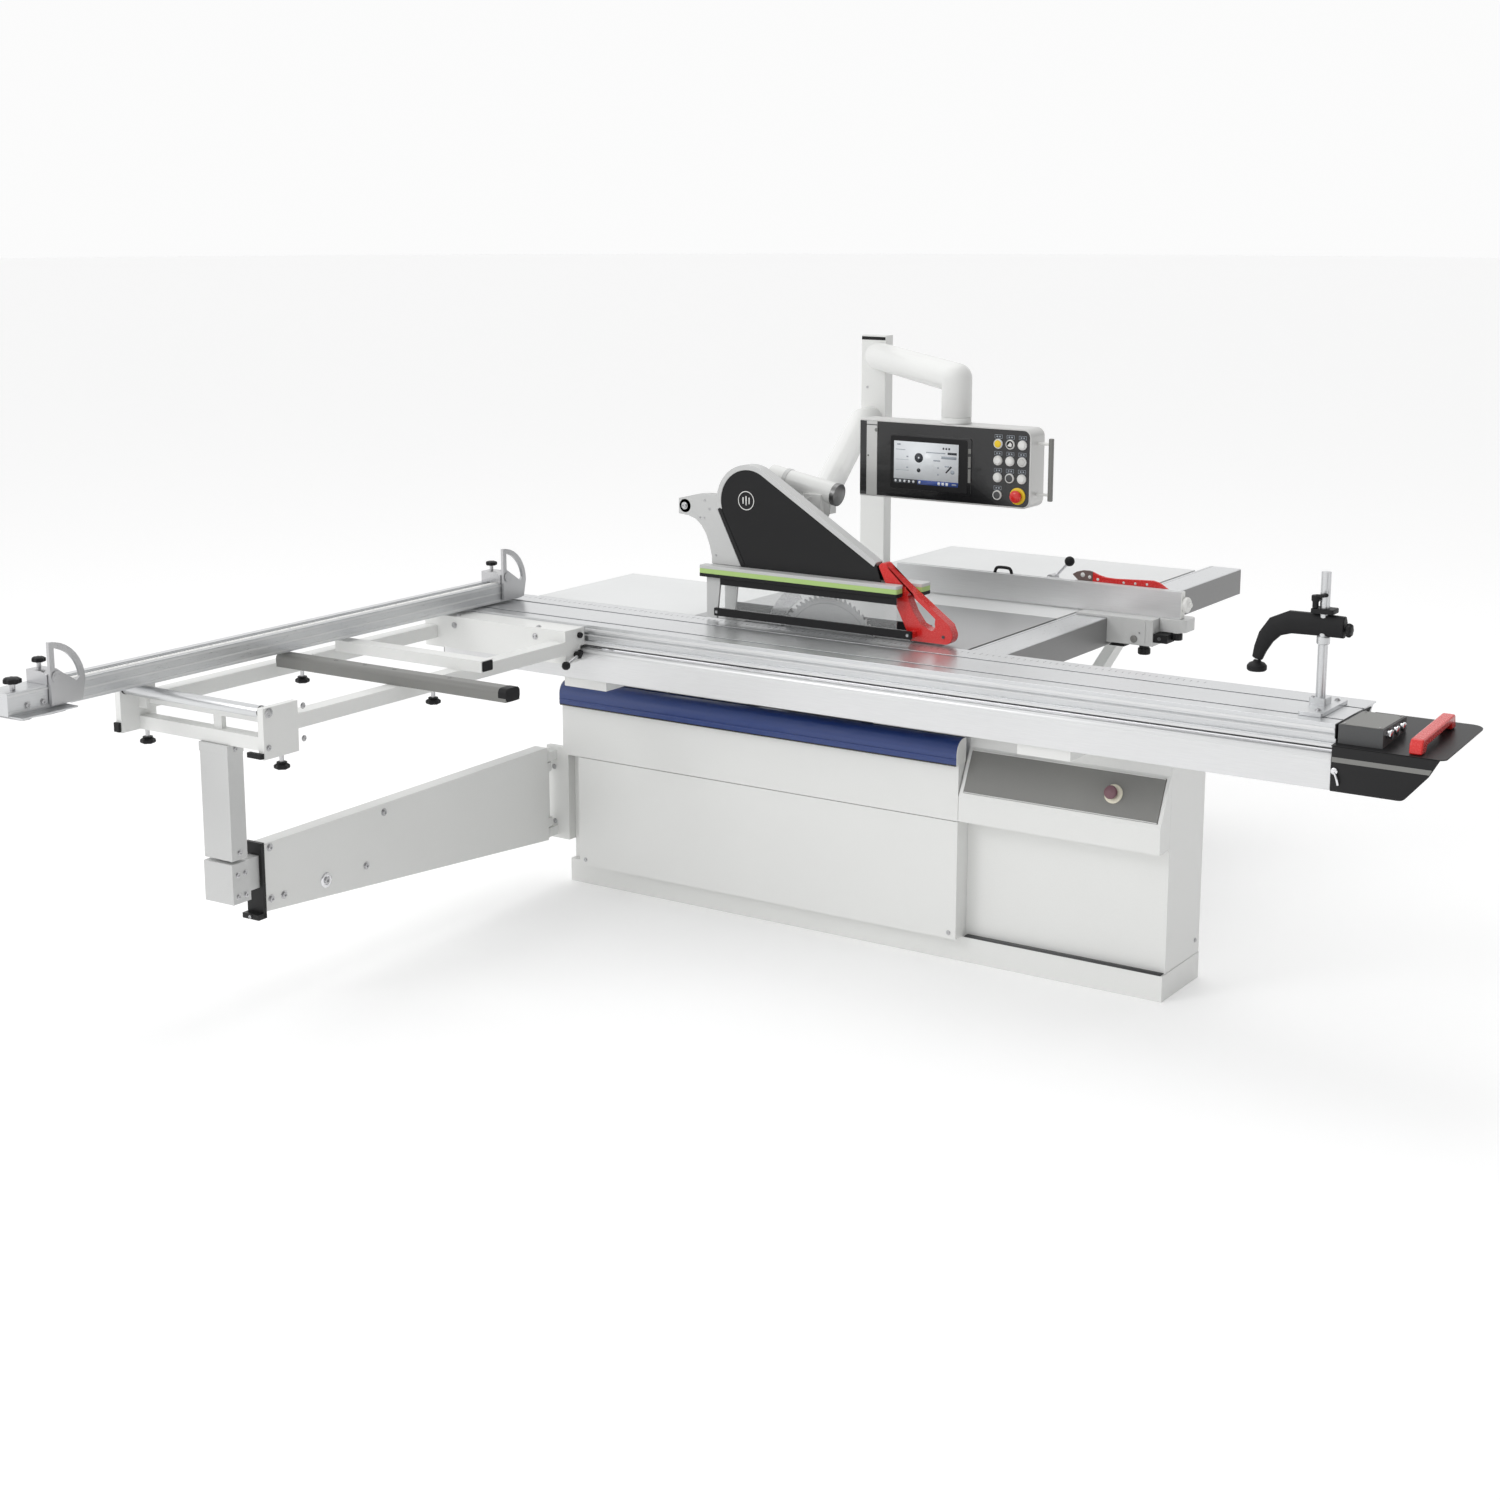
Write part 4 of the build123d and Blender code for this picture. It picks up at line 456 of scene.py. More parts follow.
# ------------------------------------------------------------------ base
def base_details():
    """Bolts of the base, its cover and the hinge bracket, and the dark seams of the body."""
    hi = node_box("base_frame")[1]
    piece = Piece("base_bolts", "base", 0.4)
    piece.bolts([(hi.x - 2, 226, z) for z in (640, 118)], RIGHT, 5, STEEL)
    cover_lo, cover_hi = node_box("lower_front_cover")
    ends = (cover_lo.x + 24, cover_hi.x - 24)
    piece.bolts([(x, cover_lo.y, cover_lo.z + 18) for x in ends], FRONT, 5, STEEL)
    bracket_lo, bracket_hi = node_box("arm_hinge_bracket")
    for z in (bracket_lo.z + 62, bracket_hi.z - 62):
        piece.bolts([(x, bracket_lo.y + 34, z) for x in (-68, -40)], FRONT, 6, STEEL)
    piece.bolts([(x, -8, 674) for x in (40, 400)], FRONT, 3.5, STEEL, washer=False)
    piece.done(slot="steel")

    groove = Piece("body_seams", "base", 0)
    face = 23.0
    housing_lo, housing_hi = node_box("control_housing")
    groove.box(housing_lo.x, housing_hi.x - 4, face - 0.4, face + 0.5, 429, 432, DARK_GREY)
    groove.box(housing_lo.x + 2, housing_hi.x - 4, -0.4, 24, 76, 78.5, DARK_GREY)
    groove.done(slot="black_paint")


PLATE_LEAN = math.radians(65)
PLATE_NORMAL = Vector((0, -math.sin(PLATE_LEAN), math.cos(PLATE_LEAN)))
PLATE_MIDDLE = Vector((0, -12.5, 575))
START_BUTTON_X = 1900


def start_button():
    """Mushroom button on the slanted plate: a fixed cream ring and a moving cap."""
    axis = PLATE_NORMAL
    centre = Vector((START_BUTTON_X, 0, 0)) + PLATE_MIDDLE + axis * 2
    ring = Piece("start_ring", "base", 0.5)
    ring.lathe([(27, 0), (27, 3), (24, 5), (15, 5), (14, 0.5)], centre, axis, CREAM, 40)
    ring.done(slot="white_plastic")
    cap = Piece("start_cap", "start_button", 0.6)
    cap.lathe([(10, 0), (10, 15), (17, 17), (19, 21), (19, 25), (16, 29), (8, 31), (1, 31.5)], centre, axis,
              MAUVE, 40)
    cap.done("main_button", slot="white_plastic")


def control_trim():
    """White strips above and below the control plate."""
    piece = Piece("control_frame", "base", 0.4)
    normal = PLATE_NORMAL
    rise = Vector((0, math.cos(PLATE_LEAN), math.sin(PLATE_LEAN)))
    lo, hi = node_box("control_plate")
    middle = PLATE_MIDDLE + normal * 2.2
    for offset in (-62, 62):
        low = middle + rise * (offset - 1.2)
        high = middle + rise * (offset + 1.2)
        ring0 = [(lo.x + 1, *low.yz), (lo.x + 1, *high.yz), (lo.x + 1, *(high + normal * 1.5).yz),
                 (lo.x + 1, *(low + normal * 1.5).yz)]
        ring1 = [(hi.x - 1, y, z) for _, y, z in ring0]
        piece.loft([ring0, ring1], WHITE)
    piece.done(slot="white_paint")


def cover_trim():
    """Plastic end pieces, a dark strip of painted shade along the gap under the cap, and the lower lip of the
    cap rail.
    """
    lo, hi = node_box("blue_cap")
    piece = Piece("cap_ends", "front_cover", 0.6)
    outline = [(lo.y, lo.z), (hi.y, lo.z), (hi.y, hi.z)] + arc((lo.y + 40, hi.z - 40), 40, 90, 180, 6)
    for x0, x1 in ((lo.x - 2, lo.x), (hi.x, hi.x + 2)):
        piece.prism(outline, "x", x0, x1, WHITE_PLASTIC)
    # Gloss black strip along the cap's lower edge: painted shade in the seam gap under the cap.
    piece.box(lo.x + 2, hi.x - 2, lo.y - 1.5, lo.y + 6, lo.z - 3, lo.z + 1, GLOSS_BLACK)
    piece.done(slot="white_plastic")
    rib = Piece("cap_rib", "front_cover", 0.8)
    rib.prism([(lo.y - 2, lo.z + 14), (lo.y + 1, lo.z + 12), (lo.y + 1, lo.z + 20), (lo.y - 2, lo.z + 18)],
              "x", lo.x + 1, hi.x - 1, BLUE)
    rib.done(slot="blue_paint")


def swing_arm():
    """Folded sheet arm with its bolts, knuckles and black end plate."""
    hinge = Vector((-62, -44, 0))
    lean = math.atan2(40, 1423)
    along = Vector((math.sin(lean), -math.cos(lean), 0))
    across = Vector((math.cos(lean), math.sin(lean), 0))

    def spot(distance, side, z):
        return hinge + along * distance + across * side + Vector((0, 0, z))

    def slab(target, side0, side1, low, high, near, far, material):
        section = ((side0, low), (side1, low), (side1, high), (side0, high))
        target.loft([[spot(d, side, z) for side, z in section] for d in (near, far)], material)

    piece = Piece("arm_beam", "arm", 2.0)
    rings = []
    for distance, low in ((22, 144), (1310, 258)):
        rings.append([spot(distance, -25, low), spot(distance, 25, low), spot(distance, 25, 450),
                      spot(distance, -25, 450)])
    piece.loft(rings, WHITE)
    for z in (184, 366):
        piece.lathe([(18, 0), (18, 30)], (hinge.x, hinge.y, z), UP, WHITE, 32)
        slab(piece, -17, 17, z, z + 30, 4, 26, WHITE)
    piece.done("swing_arm", slot="white_paint")
    plate = Piece("arm_end_plate", "arm", 1.5)
    for side in (-30, 19):
        slab(plate, side, side + 11, 246, 456, 1310, 1322, BLACK)
    for low, high in ((246, 329), (421, 456)):
        slab(plate, -20, 20, low, high, 1310, 1322, BLACK)
    slab(plate, -30, 30, 242, 257, 1310, 1343, BLACK)
    plate.bolt(spot(1343, 0, 249.5), along, 5, STEEL, washer=False)
    plate.done(slot="black_paint")
    bolts = Piece("arm_bolts", "arm", 0.5)
    for distance, z in ((1284, 436), (1286, 290), (1236, 288), (896, 284), (812, 424)):
        bolts.bolt(spot(distance, 25, z), across, 8, STEEL)
    eye = spot(1066, 25, 285)
    bolts.lathe([(22, -0.3), (22, 2), (19, 3.5), (13, 3.5), (12, 1.5)], eye, across, CHROME, 36)
    bolts.bolt(eye, across, 10, STEEL, washer=False)
    bolts.done(slot="steel")


# ------------------------------------------------------------------ carriage
def carriage_details():
    """Ribs along the front, end caps and the scale of the sliding carriage."""
    lo, hi = node_box("carriage_profile")
    piece = Piece("carriage_ribs", "carriage", 0.5)
    for z, height in ((889, 7), (870, 2.5), (846, 7)):
        piece.box(lo.x + 0.5, hi.x - 0.5, lo.y - 2.2, lo.y + 1, z - height, z, BEAM_METAL)
    piece.done(slot="aluminium")
    caps = Piece("carriage_end_caps", "carriage", 0.6)
    section = [(lo.y - 1, 838), (22, 838), (80, 895), (hi.y - 6, 896), (hi.y - 4, 899.4), (lo.y - 1, 899.4)]
    caps.prism(section, "x", lo.x - 4, lo.x, BLACK_PLASTIC)
    caps.prism([(lo.y, 862), (0, 862), (60, 894), (lo.y, 899.4)], "x", hi.x, hi.x + 3, BLACK_PLASTIC)
    caps.done(slot="black_plastic")
    scale = Piece("carriage_scale", "carriage", 0)
    for i in range(120):
        x = lo.x + 60 + i * 20
        reach = 14 if i % 5 else 22
        scale.box(x, x + 0.9, 60, 60 + reach, 900.0, 900.25, DARK_GREY)
    scale.done(slot="black_paint")


def beam_details():
    """Guide rails on the fixed beam and its end caps."""
    lo, hi = node_box("slide_beam")
    piece = Piece("beam_rails", "base", 0.6)
    piece.box(lo.x + 1, hi.x - 1, lo.y + 20, lo.y + 28, hi.z, hi.z + 5.5, CHROME)
    piece.box(lo.x + 1, hi.x - 1, hi.y - 28, hi.y - 20, hi.z, hi.z + 5.5, CHROME)
    piece.box(lo.x + 1, hi.x - 1, lo.y - 1.2, lo.y + 1, hi.z - 24, hi.z - 16, BEAM_METAL)
    piece.done(slot="steel")
    cap = Piece("beam_end_caps", "base", 1.0)
    outline = [(lo.y + 1, lo.z + 1), (hi.y - 1, lo.z + 1), (hi.y - 1, hi.z - 1), (lo.y + 14, hi.z - 1),
               (lo.y + 1, hi.z - 14)]
    cap.prism(outline, "x", lo.x - 3, lo.x + 1, DARK_GREY)
    cap.prism(outline, "x", hi.x - 1, hi.x + 3, DARK_GREY)
    cap.bolts([(hi.x + 3, y, 780) for y in (-190, -102)], RIGHT, 5, STEEL)
    cap.done(slot="black_plastic")


def tray():
    """Black folded tray with rounded corners, its stripe, latch and handle."""
    lo, hi = node_box("end_tray")
    x0, x1, y0, y1 = lo.x, hi.x, lo.y, hi.y
    rise = 22 / (y1 - y0)
    outline = ([(x0, y0), (x1 - 22, y0)] + arc((x1 - 22, y0 + 22), 22, -70, -20, 3)
               + arc((x1 - 34, y1 - 34), 34, 0, 90, 5) + [(x0, y1)])
    piece = Piece("tray_plate", "carriage", 0.5)
    piece.loft([[(x, y, 847 + (y - y0) * rise + h) for x, y in outline] for h in (0, 3)], BLACK)
    skirt = ([(x0 + 2, 849), (x1 - 14, 849), (x1 - 40, 803)] + arc((x1 - 112, 757), 24, -38, -90, 4)
             + [(x0 + 2, 733)])
    piece.prism(skirt, "y", y0, y0 + 3, BLACK)
    piece.box(x0, x0 + 3, y0 + 30, y1 - 60, 844, 856, BLACK)
    piece.done("end_tray", slot="black_paint")
    stripe = Piece("tray_stripe", "carriage", 0.4)
    stripe.prism([(x0 + 3, 808), (x1 - 39, 808), (x1 - 33, 821), (x0 + 3, 821)], "y", y0 - 0.8, y0 + 0.2,
                 MID_GREY)
    stripe.done(slot="grey_paint")
    latch = Piece("tray_latch", "carriage", 0.5)
    latch.lathe([(9, 0), (9, 5), (6, 7)], (x0 + 12, y0, 786), FRONT, CHROME, 24)
    latch.sweep([(x0 + 12, y0 - 5, 784), (x0 + 20, y0 - 8, 770), (x0 + 24, y0 - 6, 752)], 3.4, CHROME, 12)
    latch.done(slot="chrome")
    grip_lo, grip_hi = node_box("push_handle")
    grip = Piece("tray_grip", "carriage", 5.0)
    g0, g1 = grip_lo.y, grip_hi.y
    base0, base1 = 847 + (g0 - y0) * rise + 3.2, 847 + (g1 - y0) * rise + 3.2
    side = [(g0, base0), (g0 + 34, base0), (g0 + 42, base0 + 17), (g1 - 42, base1 + 15), (g1 - 34, base1),
            (g1, base1), (g1 - 10, base1 + 37), (g0 + 12, base0 + 38), (g0 + 3, base0 + 26)]
    grip.prism(side, "x", grip_lo.x, grip_hi.x, RED)
    grip.done("push_handle", slot="red_plastic")
    box_lo, box_hi = node_box("button_box")
    buttons = Piece("tray_button_caps", "tray_buttons", 0.5)
    for y in (-172, -124, -76):
        buttons.lathe([(9.5, -8), (9.5, 8), (12.5, 9), (12.5, 12), (10, 14), (2, 14.5)],
                      (box_hi.x, y, 884), RIGHT, CHROME, 32)
    buttons.done("box_buttons", slot="chrome")
    lid = Piece("button_box_lid", "carriage", 0.6)
    lid.prism(rounded_box(box_lo.x + 4, box_hi.x - 4, box_lo.y + 4, box_hi.y - 4, 5), "z",
              box_hi.z, box_hi.z + 1.4, MID_GREY)
    for x in (box_lo.x + 12, box_hi.x - 12):
        corners = [(x, y, box_hi.z + 1.4) for y in (box_lo.y + 12, box_hi.y - 12)]
        lid.bolts(corners, UP, 3, STEEL, washer=False)
    lid.done(slot="grey_paint")


HOLD_DOWN_PLACE = (2481, -48)


def hold_down():
    """Aluminium post with its foot, and a curved black arm with a lever and knob."""
    lo, hi = node_box("clamp_post")
    x, y = HOLD_DOWN_PLACE
    piece = Piece("hold_down_column", "hold_down_post", 0.7)
    flutes = []
    for i in range(48):
        turn = 2 * math.pi * i / 48
        radius = 12.7 - (1.6 if i % 12 in (5, 6, 7) else 0.0)
        flutes.append((x + radius * math.cos(turn), y + radius * math.sin(turn)))
    piece.prism(flutes, "z", 905, hi.z, ANODISED_X)
    piece.prism(rounded_box(lo.x + 6, lo.x + 68, lo.y, hi.y, 4), "z", lo.z, 911, ANODISED_X)
    piece.prism(rounded_box(x - 22, x + 22, y - 24, y + 24, 4), "z", lo.z, 929, ANODISED_X)
    piece.bolt((x - 14, y - 16, 929), UP, 4, STEEL)
    piece.bolts([(lo.x + 46, y + shift, 911) for shift in (60, -80)], UP, 6, STEEL)
    piece.done("clamp_post", slot="aluminium")
    arm = Piece("hold_down_beam", "hold_down_arm", 3.0)
    spine = [(x + 56, 1114, 30), (x - 20, 1115, 31), (x - 88, 1114, 32), (x - 128, 1098, 29),
             (x - 152, 1068, 24), (x - 166, 1036, 19), (x - 174, 1009, 15)]
    rings = []
    for i, (px, pz, half) in enumerate(spine):
        nx, nz = spine[min(i + 1, len(spine) - 1)][:2]
        bx, bz = spine[max(i - 1, 0)][:2]
        ahead = Vector((nx - bx, 0, nz - bz)).normalized()
        up = Vector((-ahead.z, 0, ahead.x))
        middle = Vector((px, y, pz))
        wide = 19 if i < 3 else 19 - 1.8 * (i - 2)
        rings.append([middle + up * (half * v) + Vector((0, wide * u, 0))
                      for u, v in arc((0, 0), 1, 22.5, 337.5, 7)])
    arm.loft(rings, BLACK_PLASTIC)
    arm.prism(rounded_box(x - 30, x + 30, y - 24, y + 24, 6), "z", 1146, 1159, BLACK_PLASTIC)
    arm.lathe([(17, 0), (17, 20)], (x, y, 1066), UP, ANODISED_X, 32)
    star_knob(arm, (x + 56, y, 1108), RIGHT, 17, 14, stem=4)
    arm.lathe([(8, 0), (8, 16), (11, 20), (11, 34)], (x - 20, y - 14, 1159), UP, BLACK_PLASTIC, 24)
    arm.sweep([(x - 20, y - 14, 1190), (x - 6, y - 20, 1192), (x + 16, y - 30, 1198)], 5, BLACK_PLASTIC, 14)
    arm.done("clamp_arm", slot="black_plastic")
    pad = Piece("hold_down_foot", "hold_down_pad", 1.2)
    place = (x - 174, y, 0)
    pad.lathe([(22, 976), (26, 980), (26, 990), (20, 997), (12, 1000), (8, 1006)], place, UP,
              BLACK_PLASTIC, 40)
    pad.lathe([(6, 1000), (6, 1034)], place, UP, STEEL, 20)
    pad.done("clamp_pad", slot="rubber")


# ------------------------------------------------------------------ outrigger
ROLLER_AXIS = (-1532, 882)


def outrigger_details():
    """Levelling knobs, bolts, mitre bar, end caps and clamp lever of the outrigger."""
    knobs = Piece("outrigger_knobs", "outrigger", 1.0)
    for x, y, z in ((-305, -1467, 760), (201, -1467, 760), (-305, -870, 820), (201, -870, 820)):
        knobs.lathe([(6, -30), (6, 0)], (x, y, z), UP, STEEL, 20)
        knobs.lathe([(11, -30), (14, -27), (14, -24)], (x, y, z), UP, BLACK_PLASTIC, 24)
        knobs.lathe([(16, -43), (20, -40), (20, -33), (15, -29)], (x, y, z), UP, BLACK_PLASTIC, 48,
                    lobes=6, lobe_depth=0.07)
    knobs.done("frame_knobs", slot="black_plastic")
    bolts = Piece("outrigger_bolts", "outrigger", 0.5)
    for z in (790, 878):
        bolts.bolts([(226, y, z) for y in (-1536, -1408)], RIGHT, 6, STEEL)
    for x in (-210, 110):
        bolts.bolt((x, -299, 866), FRONT, 7, STEEL)
        bolts.bolt((x, -280, 893), UP, 6, STEEL)
    for y, z in ((-232, 872), (-232, 818)):
        bolts.lathe([(9, 0), (9, 8), (7, 11), (3, 12)], (226, y, z), RIGHT, BLACK_PLASTIC, 28)
    bolts.lathe([(13, 0), (13, 2), (9, 3)], (226, ROLLER_AXIS[0], ROLLER_AXIS[1]), RIGHT, STEEL, 28)
    bolts.done(slot="steel")
    bar_lo, bar_hi = node_box("mitre_bar")
    bar = Piece("mitre_bar_trim", "outrigger", 0.8)
    bar.prism(rounded_box(bar_lo.y - 0.5, bar_hi.y + 0.5, bar_lo.z, bar_hi.z + 0.3, 13), "x",
              bar_hi.x - 26, bar_hi.x + 1, BLACK_PLASTIC)
    bar.prism(rounded_box(bar_lo.y + 1, bar_hi.y - 1, bar_lo.z, bar_hi.z - 0.5, 13), "x",
              bar_lo.x - 2, bar_lo.x + 1, BLACK_PLASTIC)
    for x in (-40, 70, 180, 380):
        bar.lathe([(6, -0.4), (6, 0.35), (4, 0.35), (3.8, -2)], (x, -1003, bar_hi.z), UP, DARK_GREY, 24)
    bar.done(slot="black_plastic")
    caps = Piece("outrigger_caps", "outrigger", 1.0)
    caps.box(176, 226, -1566, -1553, 764, 778, BLACK_PLASTIC)
    caps.box(-330, -310, -1562, -1553, 764, 790, BLACK_PLASTIC)
    for x in (300, -263):
        caps.prism(rounded_box(-772, -728, 862, 891, 4), "x", x, x + 3, BLACK_PLASTIC)
    caps.done(slot="black_plastic")
    lever = Piece("outrigger_lever_arm", "outrigger_lever", 0.8)
    x, y, z = 238, -250, 814
    lever.lathe([(11, -11), (11, 5), (8, 8)], (x, y, z), RIGHT, BLACK_PLASTIC, 28)
    lever.sweep([(x, y, z), (x + 2, y - 30, z - 8), (x, y - 62, z - 22)], 5, STEEL, 16)
    lever.lathe([(3, -13), (9, -10), (13, -3), (13, 3), (9, 10), (3, 13)], (x, y - 62, z - 22),
                (0, 1, 0.35), BLACK_PLASTIC, 28)
    lever.done("clamp_lever", slot="black_plastic")


def post_details():
    """Collar and bolts of the outrigger's post, and the bolts of the bearing under it."""
    lo, hi = node_box("support_post")
    piece = Piece("post_trim", "outrigger", 0.6)
    piece.box(lo.x - 1.5, hi.x + 1.5, lo.y - 1.5, hi.y + 1.5, hi.z - 26, hi.z - 1, LIGHT_GREY)
    for z in (hi.z - 13, lo.z + 20):
        piece.bolt((hi.x + (1.5 if z > 600 else 0), (lo.y + hi.y) / 2, z), RIGHT, 6, STEEL)
    piece.done(slot="light_grey_paint")
    block_hi = node_box("arm_extension")[1]
    bearing = Piece("arm_bearing", "arm_tube", 0.6)
    for z in (340, 400):
        bearing.bolts([(block_hi.x - 1.4, y, z) for y in (-1478, -1450)], RIGHT, 6, STEEL)
    bearing.done(slot="steel")


def roller_details():
    """Black rings near the ends of the outrigger's roller."""
    lo, hi = node_box("support_roller")
    piece = Piece("roller_rings", "roller", 0.6)
    for x in (lo.x + 15.4, hi.x - 21):
        piece.lathe([(16.6, 0), (16.6, 5.4)], (x, *ROLLER_AXIS), RIGHT, BLACK_PLASTIC, 36)
    piece.done(slot="black_plastic")


# ------------------------------------------------------------------ crosscut fence
def fence_details():
    """Scale strip on top of the cross fence and the ribs on its face."""
    lo, hi = node_box("crosscut_fence")
    strip = Piece("fence_strip", "fence", 0.3)
    strip.box(lo.x + 50, lo.x + 72, lo.y + 4, hi.y - 60, 965, 965.8, WHITE_PLASTIC)
    for i in range(170):
        y = hi.y - 70 - i * 10
        reach = 8 if i % 5 else 15
        strip.box(lo.x + 50, lo.x + 50 + reach, y, y + 0.9, 965.8, 966.05, DARK_GREY)
    strip.done(slot="white_plastic")
    ribs = Piece("fence_ribs", "fence", 0.4)
    for z in (912, 935, 958):
        ribs.box(hi.x - 0.5, hi.x + 1.2, lo.y + 1, hi.y - 58, z - 2.5, z + 2.5, BEAM_METAL)
    ribs.box(lo.x + 12, lo.x + 30, lo.y + 2, hi.y - 60, 965, 966.6, ANODISED_Y)
    ribs.done(slot="aluminium")


def window_ring(piece, outer, inner, x0, x1, material):
    """A plate with a window: bridges two outlines that have the same number of points."""
    rings = []
    for points, x in ((outer, x0), (outer, x1), (inner, x1), (inner, x0)):
        rings.append([(x, u, v) for u, v in points])
    piece.loft(rings, material, closed=True)


STOP_FACE_X = -208.0


def flip_stop(label, base_body, flap_body, y, replaced_base, replaced_flap):
    """A flip stop: slotted base block, black knob, and a quarter-round flap with a window."""
    front = STOP_FACE_X
    base = Piece(label + "_stop_block", base_body, 0.8)
    base.prism([(-284, 965.2), (-207, 965.2), (-207, 992), (-226, 999), (-284, 999)], "y", y - 4, y + 46,
               STEEL)
    base.lathe([(6, 998), (6, 1018)], (-262, y + 20, 0), UP, STEEL, 20)
    star_knob(base, (-262, y + 20, 1016), UP, 17, 13)
    base.lathe([(6, 0), (6, 12), (9.5, 12), (9.5, 15.5)], (front, y + 20, 985), RIGHT, STEEL, 28)
    base.bolt((-240, y + 38, 997), UP, 4, STEEL)
    base.done(replaced_base, slot="aluminium")
    flap = Piece(label + "_stop_flap", flap_body, 0.8)
    x0, x1, top = front + 2, front + 12, 1076
    outer = [(y, 911), (y, top)] + arc((y, top - 112), 112, 90, 0, 9)[1:] + [(y + 100, 911)]
    inner = [(y + 16, 1008), (y + 16, top - 16)] + arc((y + 2, top - 112), 94, 80, 6, 9)[1:] + [(y + 84, 964)]
    window_ring(flap, outer, inner, x0, x1, STEEL)
    flap.lathe([(16, 0), (16, 3)], (x1, y + 20, 985), RIGHT, STEEL, 28, closed=False)
    flap.done(replaced_flap, slot="aluminium")


def fence_end_details():
    """Foot plate, knobs and ribs on the outer end of the cross fence."""
    piece = Piece("fence_end_trim", "fence_end", 0.8)
    foot = ([(-300, -1990), (-230, -1992)] + arc((-190, -1970), 22, -60, 60, 4)
            + [(-170, -1900), (-172, -1850), (-230, -1812), (-300, -1812)])
    piece.prism(foot, "z", 898, 900.8, STEEL)
    piece.lathe([(7, 965), (7, 984)], (-235, -1960, 0), UP, STEEL, 20)
    star_knob(piece, (-235, -1960, 982), UP, 22, 15)
    star_knob(piece, (-240, -1930, 893), DOWN, 15, 12, stem=0)
    piece.bolts([(STOP_FACE_X, y, 925) for y in (-1940, -1890)], RIGHT, 7, STEEL)
    for z in (913, 957):
        piece.box(-208.5, -206.8, -1998, -1820, z - 3, z + 3, BEAM_METAL)
    piece.done(slot="aluminium")


# ------------------------------------------------------------------ guard
def ribbon(piece, outer, inner, y0, y1, material):
    """A band of box section that follows a line in the X-Z plane."""
    rings = []
    for (ox, oz), (ix, iz) in zip(outer, inner):
        rings.append([(ox, y0, oz), (ox, y1, oz), (ix, y1, iz), (ix, y0, iz)])
    piece.loft(rings, material)


def offset_line(points, distance):
    """Moves an open line sideways; positive is to the right of its direction."""
    moved = []
    for i, point in enumerate(points):
        before, after = points[max(i - 1, 0)], points[min(i + 1, len(points) - 1)]
        way = (Vector(after) - Vector(before)).normalized()
        moved.append((point[0] + way.y * distance, point[1] - way.x * distance))
    return moved


HOOD_LOW = (595.0, 1069.0)
HOOD_REAR = (510.0, 1238.0)
HOOD_FRONT = (1072.0, 1126.0)
CROWN = (620.0, 1268.0)
BADGE = (614, 1273)
GUARD_PIVOT = (385, 1240)
SKIRT = (64, 194)
BUMPER_Z = (1034, 1069)
LOWER_BAR_Z = (916, 940)
NOSE_Y = (100, 136)


def guard_shell():
    """Hood of the guard: a grey band over its back, black sides and a folded rear edge."""
    lo, hi = node_box("guard_hood")
    crown = arc(CROWN, 114, 194, 60, 15)
    back = [HOOD_REAR] + crown + [HOOD_FRONT]
    shell = Piece("guard_band", "guard", 1.6)
    ribbon(shell, back, offset_line(back, 16), lo.y, hi.y, LIGHT_GREY)
    shell.done("guard_hood", slot="light_grey_paint")
    sides = Piece("guard_sides", "guard", 0.8)
    outline = [HOOD_LOW, (1087, 1069), (1070, 1124)] + arc(CROWN, 108, 60, 194, 12)
    for y0, y1 in ((lo.y + 1.6, lo.y + 4), (hi.y - 4, hi.y - 1.6)):
        sides.prism(outline, "y", y0, y1, BLACK)
    rear = [HOOD_REAR, HOOD_LOW]
    ribbon(sides, rear, offset_line(rear, -3), lo.y + 2, hi.y - 2, BLACK)
    sides.done(slot="black_paint")
    fold = Piece("guard_folds", "guard", 0.9)
    edge = [(510, 1240), (598, 1072)]
    for y0, y1 in ((lo.y - 0.4, lo.y + 1.8), (hi.y - 1.8, hi.y + 0.4)):
        ribbon(fold, offset_line(edge, -1), offset_line(edge, -12), y0, y1, BLACK)
    fold.done(slot="black_paint")
    badge = Piece("guard_badge", "guard", 0)
    x, z = BADGE
    badge.lathe([(29, 0), (29, 0.6), (26.5, 0.6), (26.5, 0)], (x, lo.y + 1.2, z), FRONT, WHITE_PLASTIC, 48,
                closed=True)
    for shift, half in ((-11, 10), (0, 14), (11, 10)):
        badge.box(x + shift - 2, x + shift + 2, lo.y + 0.7, lo.y + 1.4, z - half, z + half, WHITE_PLASTIC)
    badge.done(slot="white_plastic")


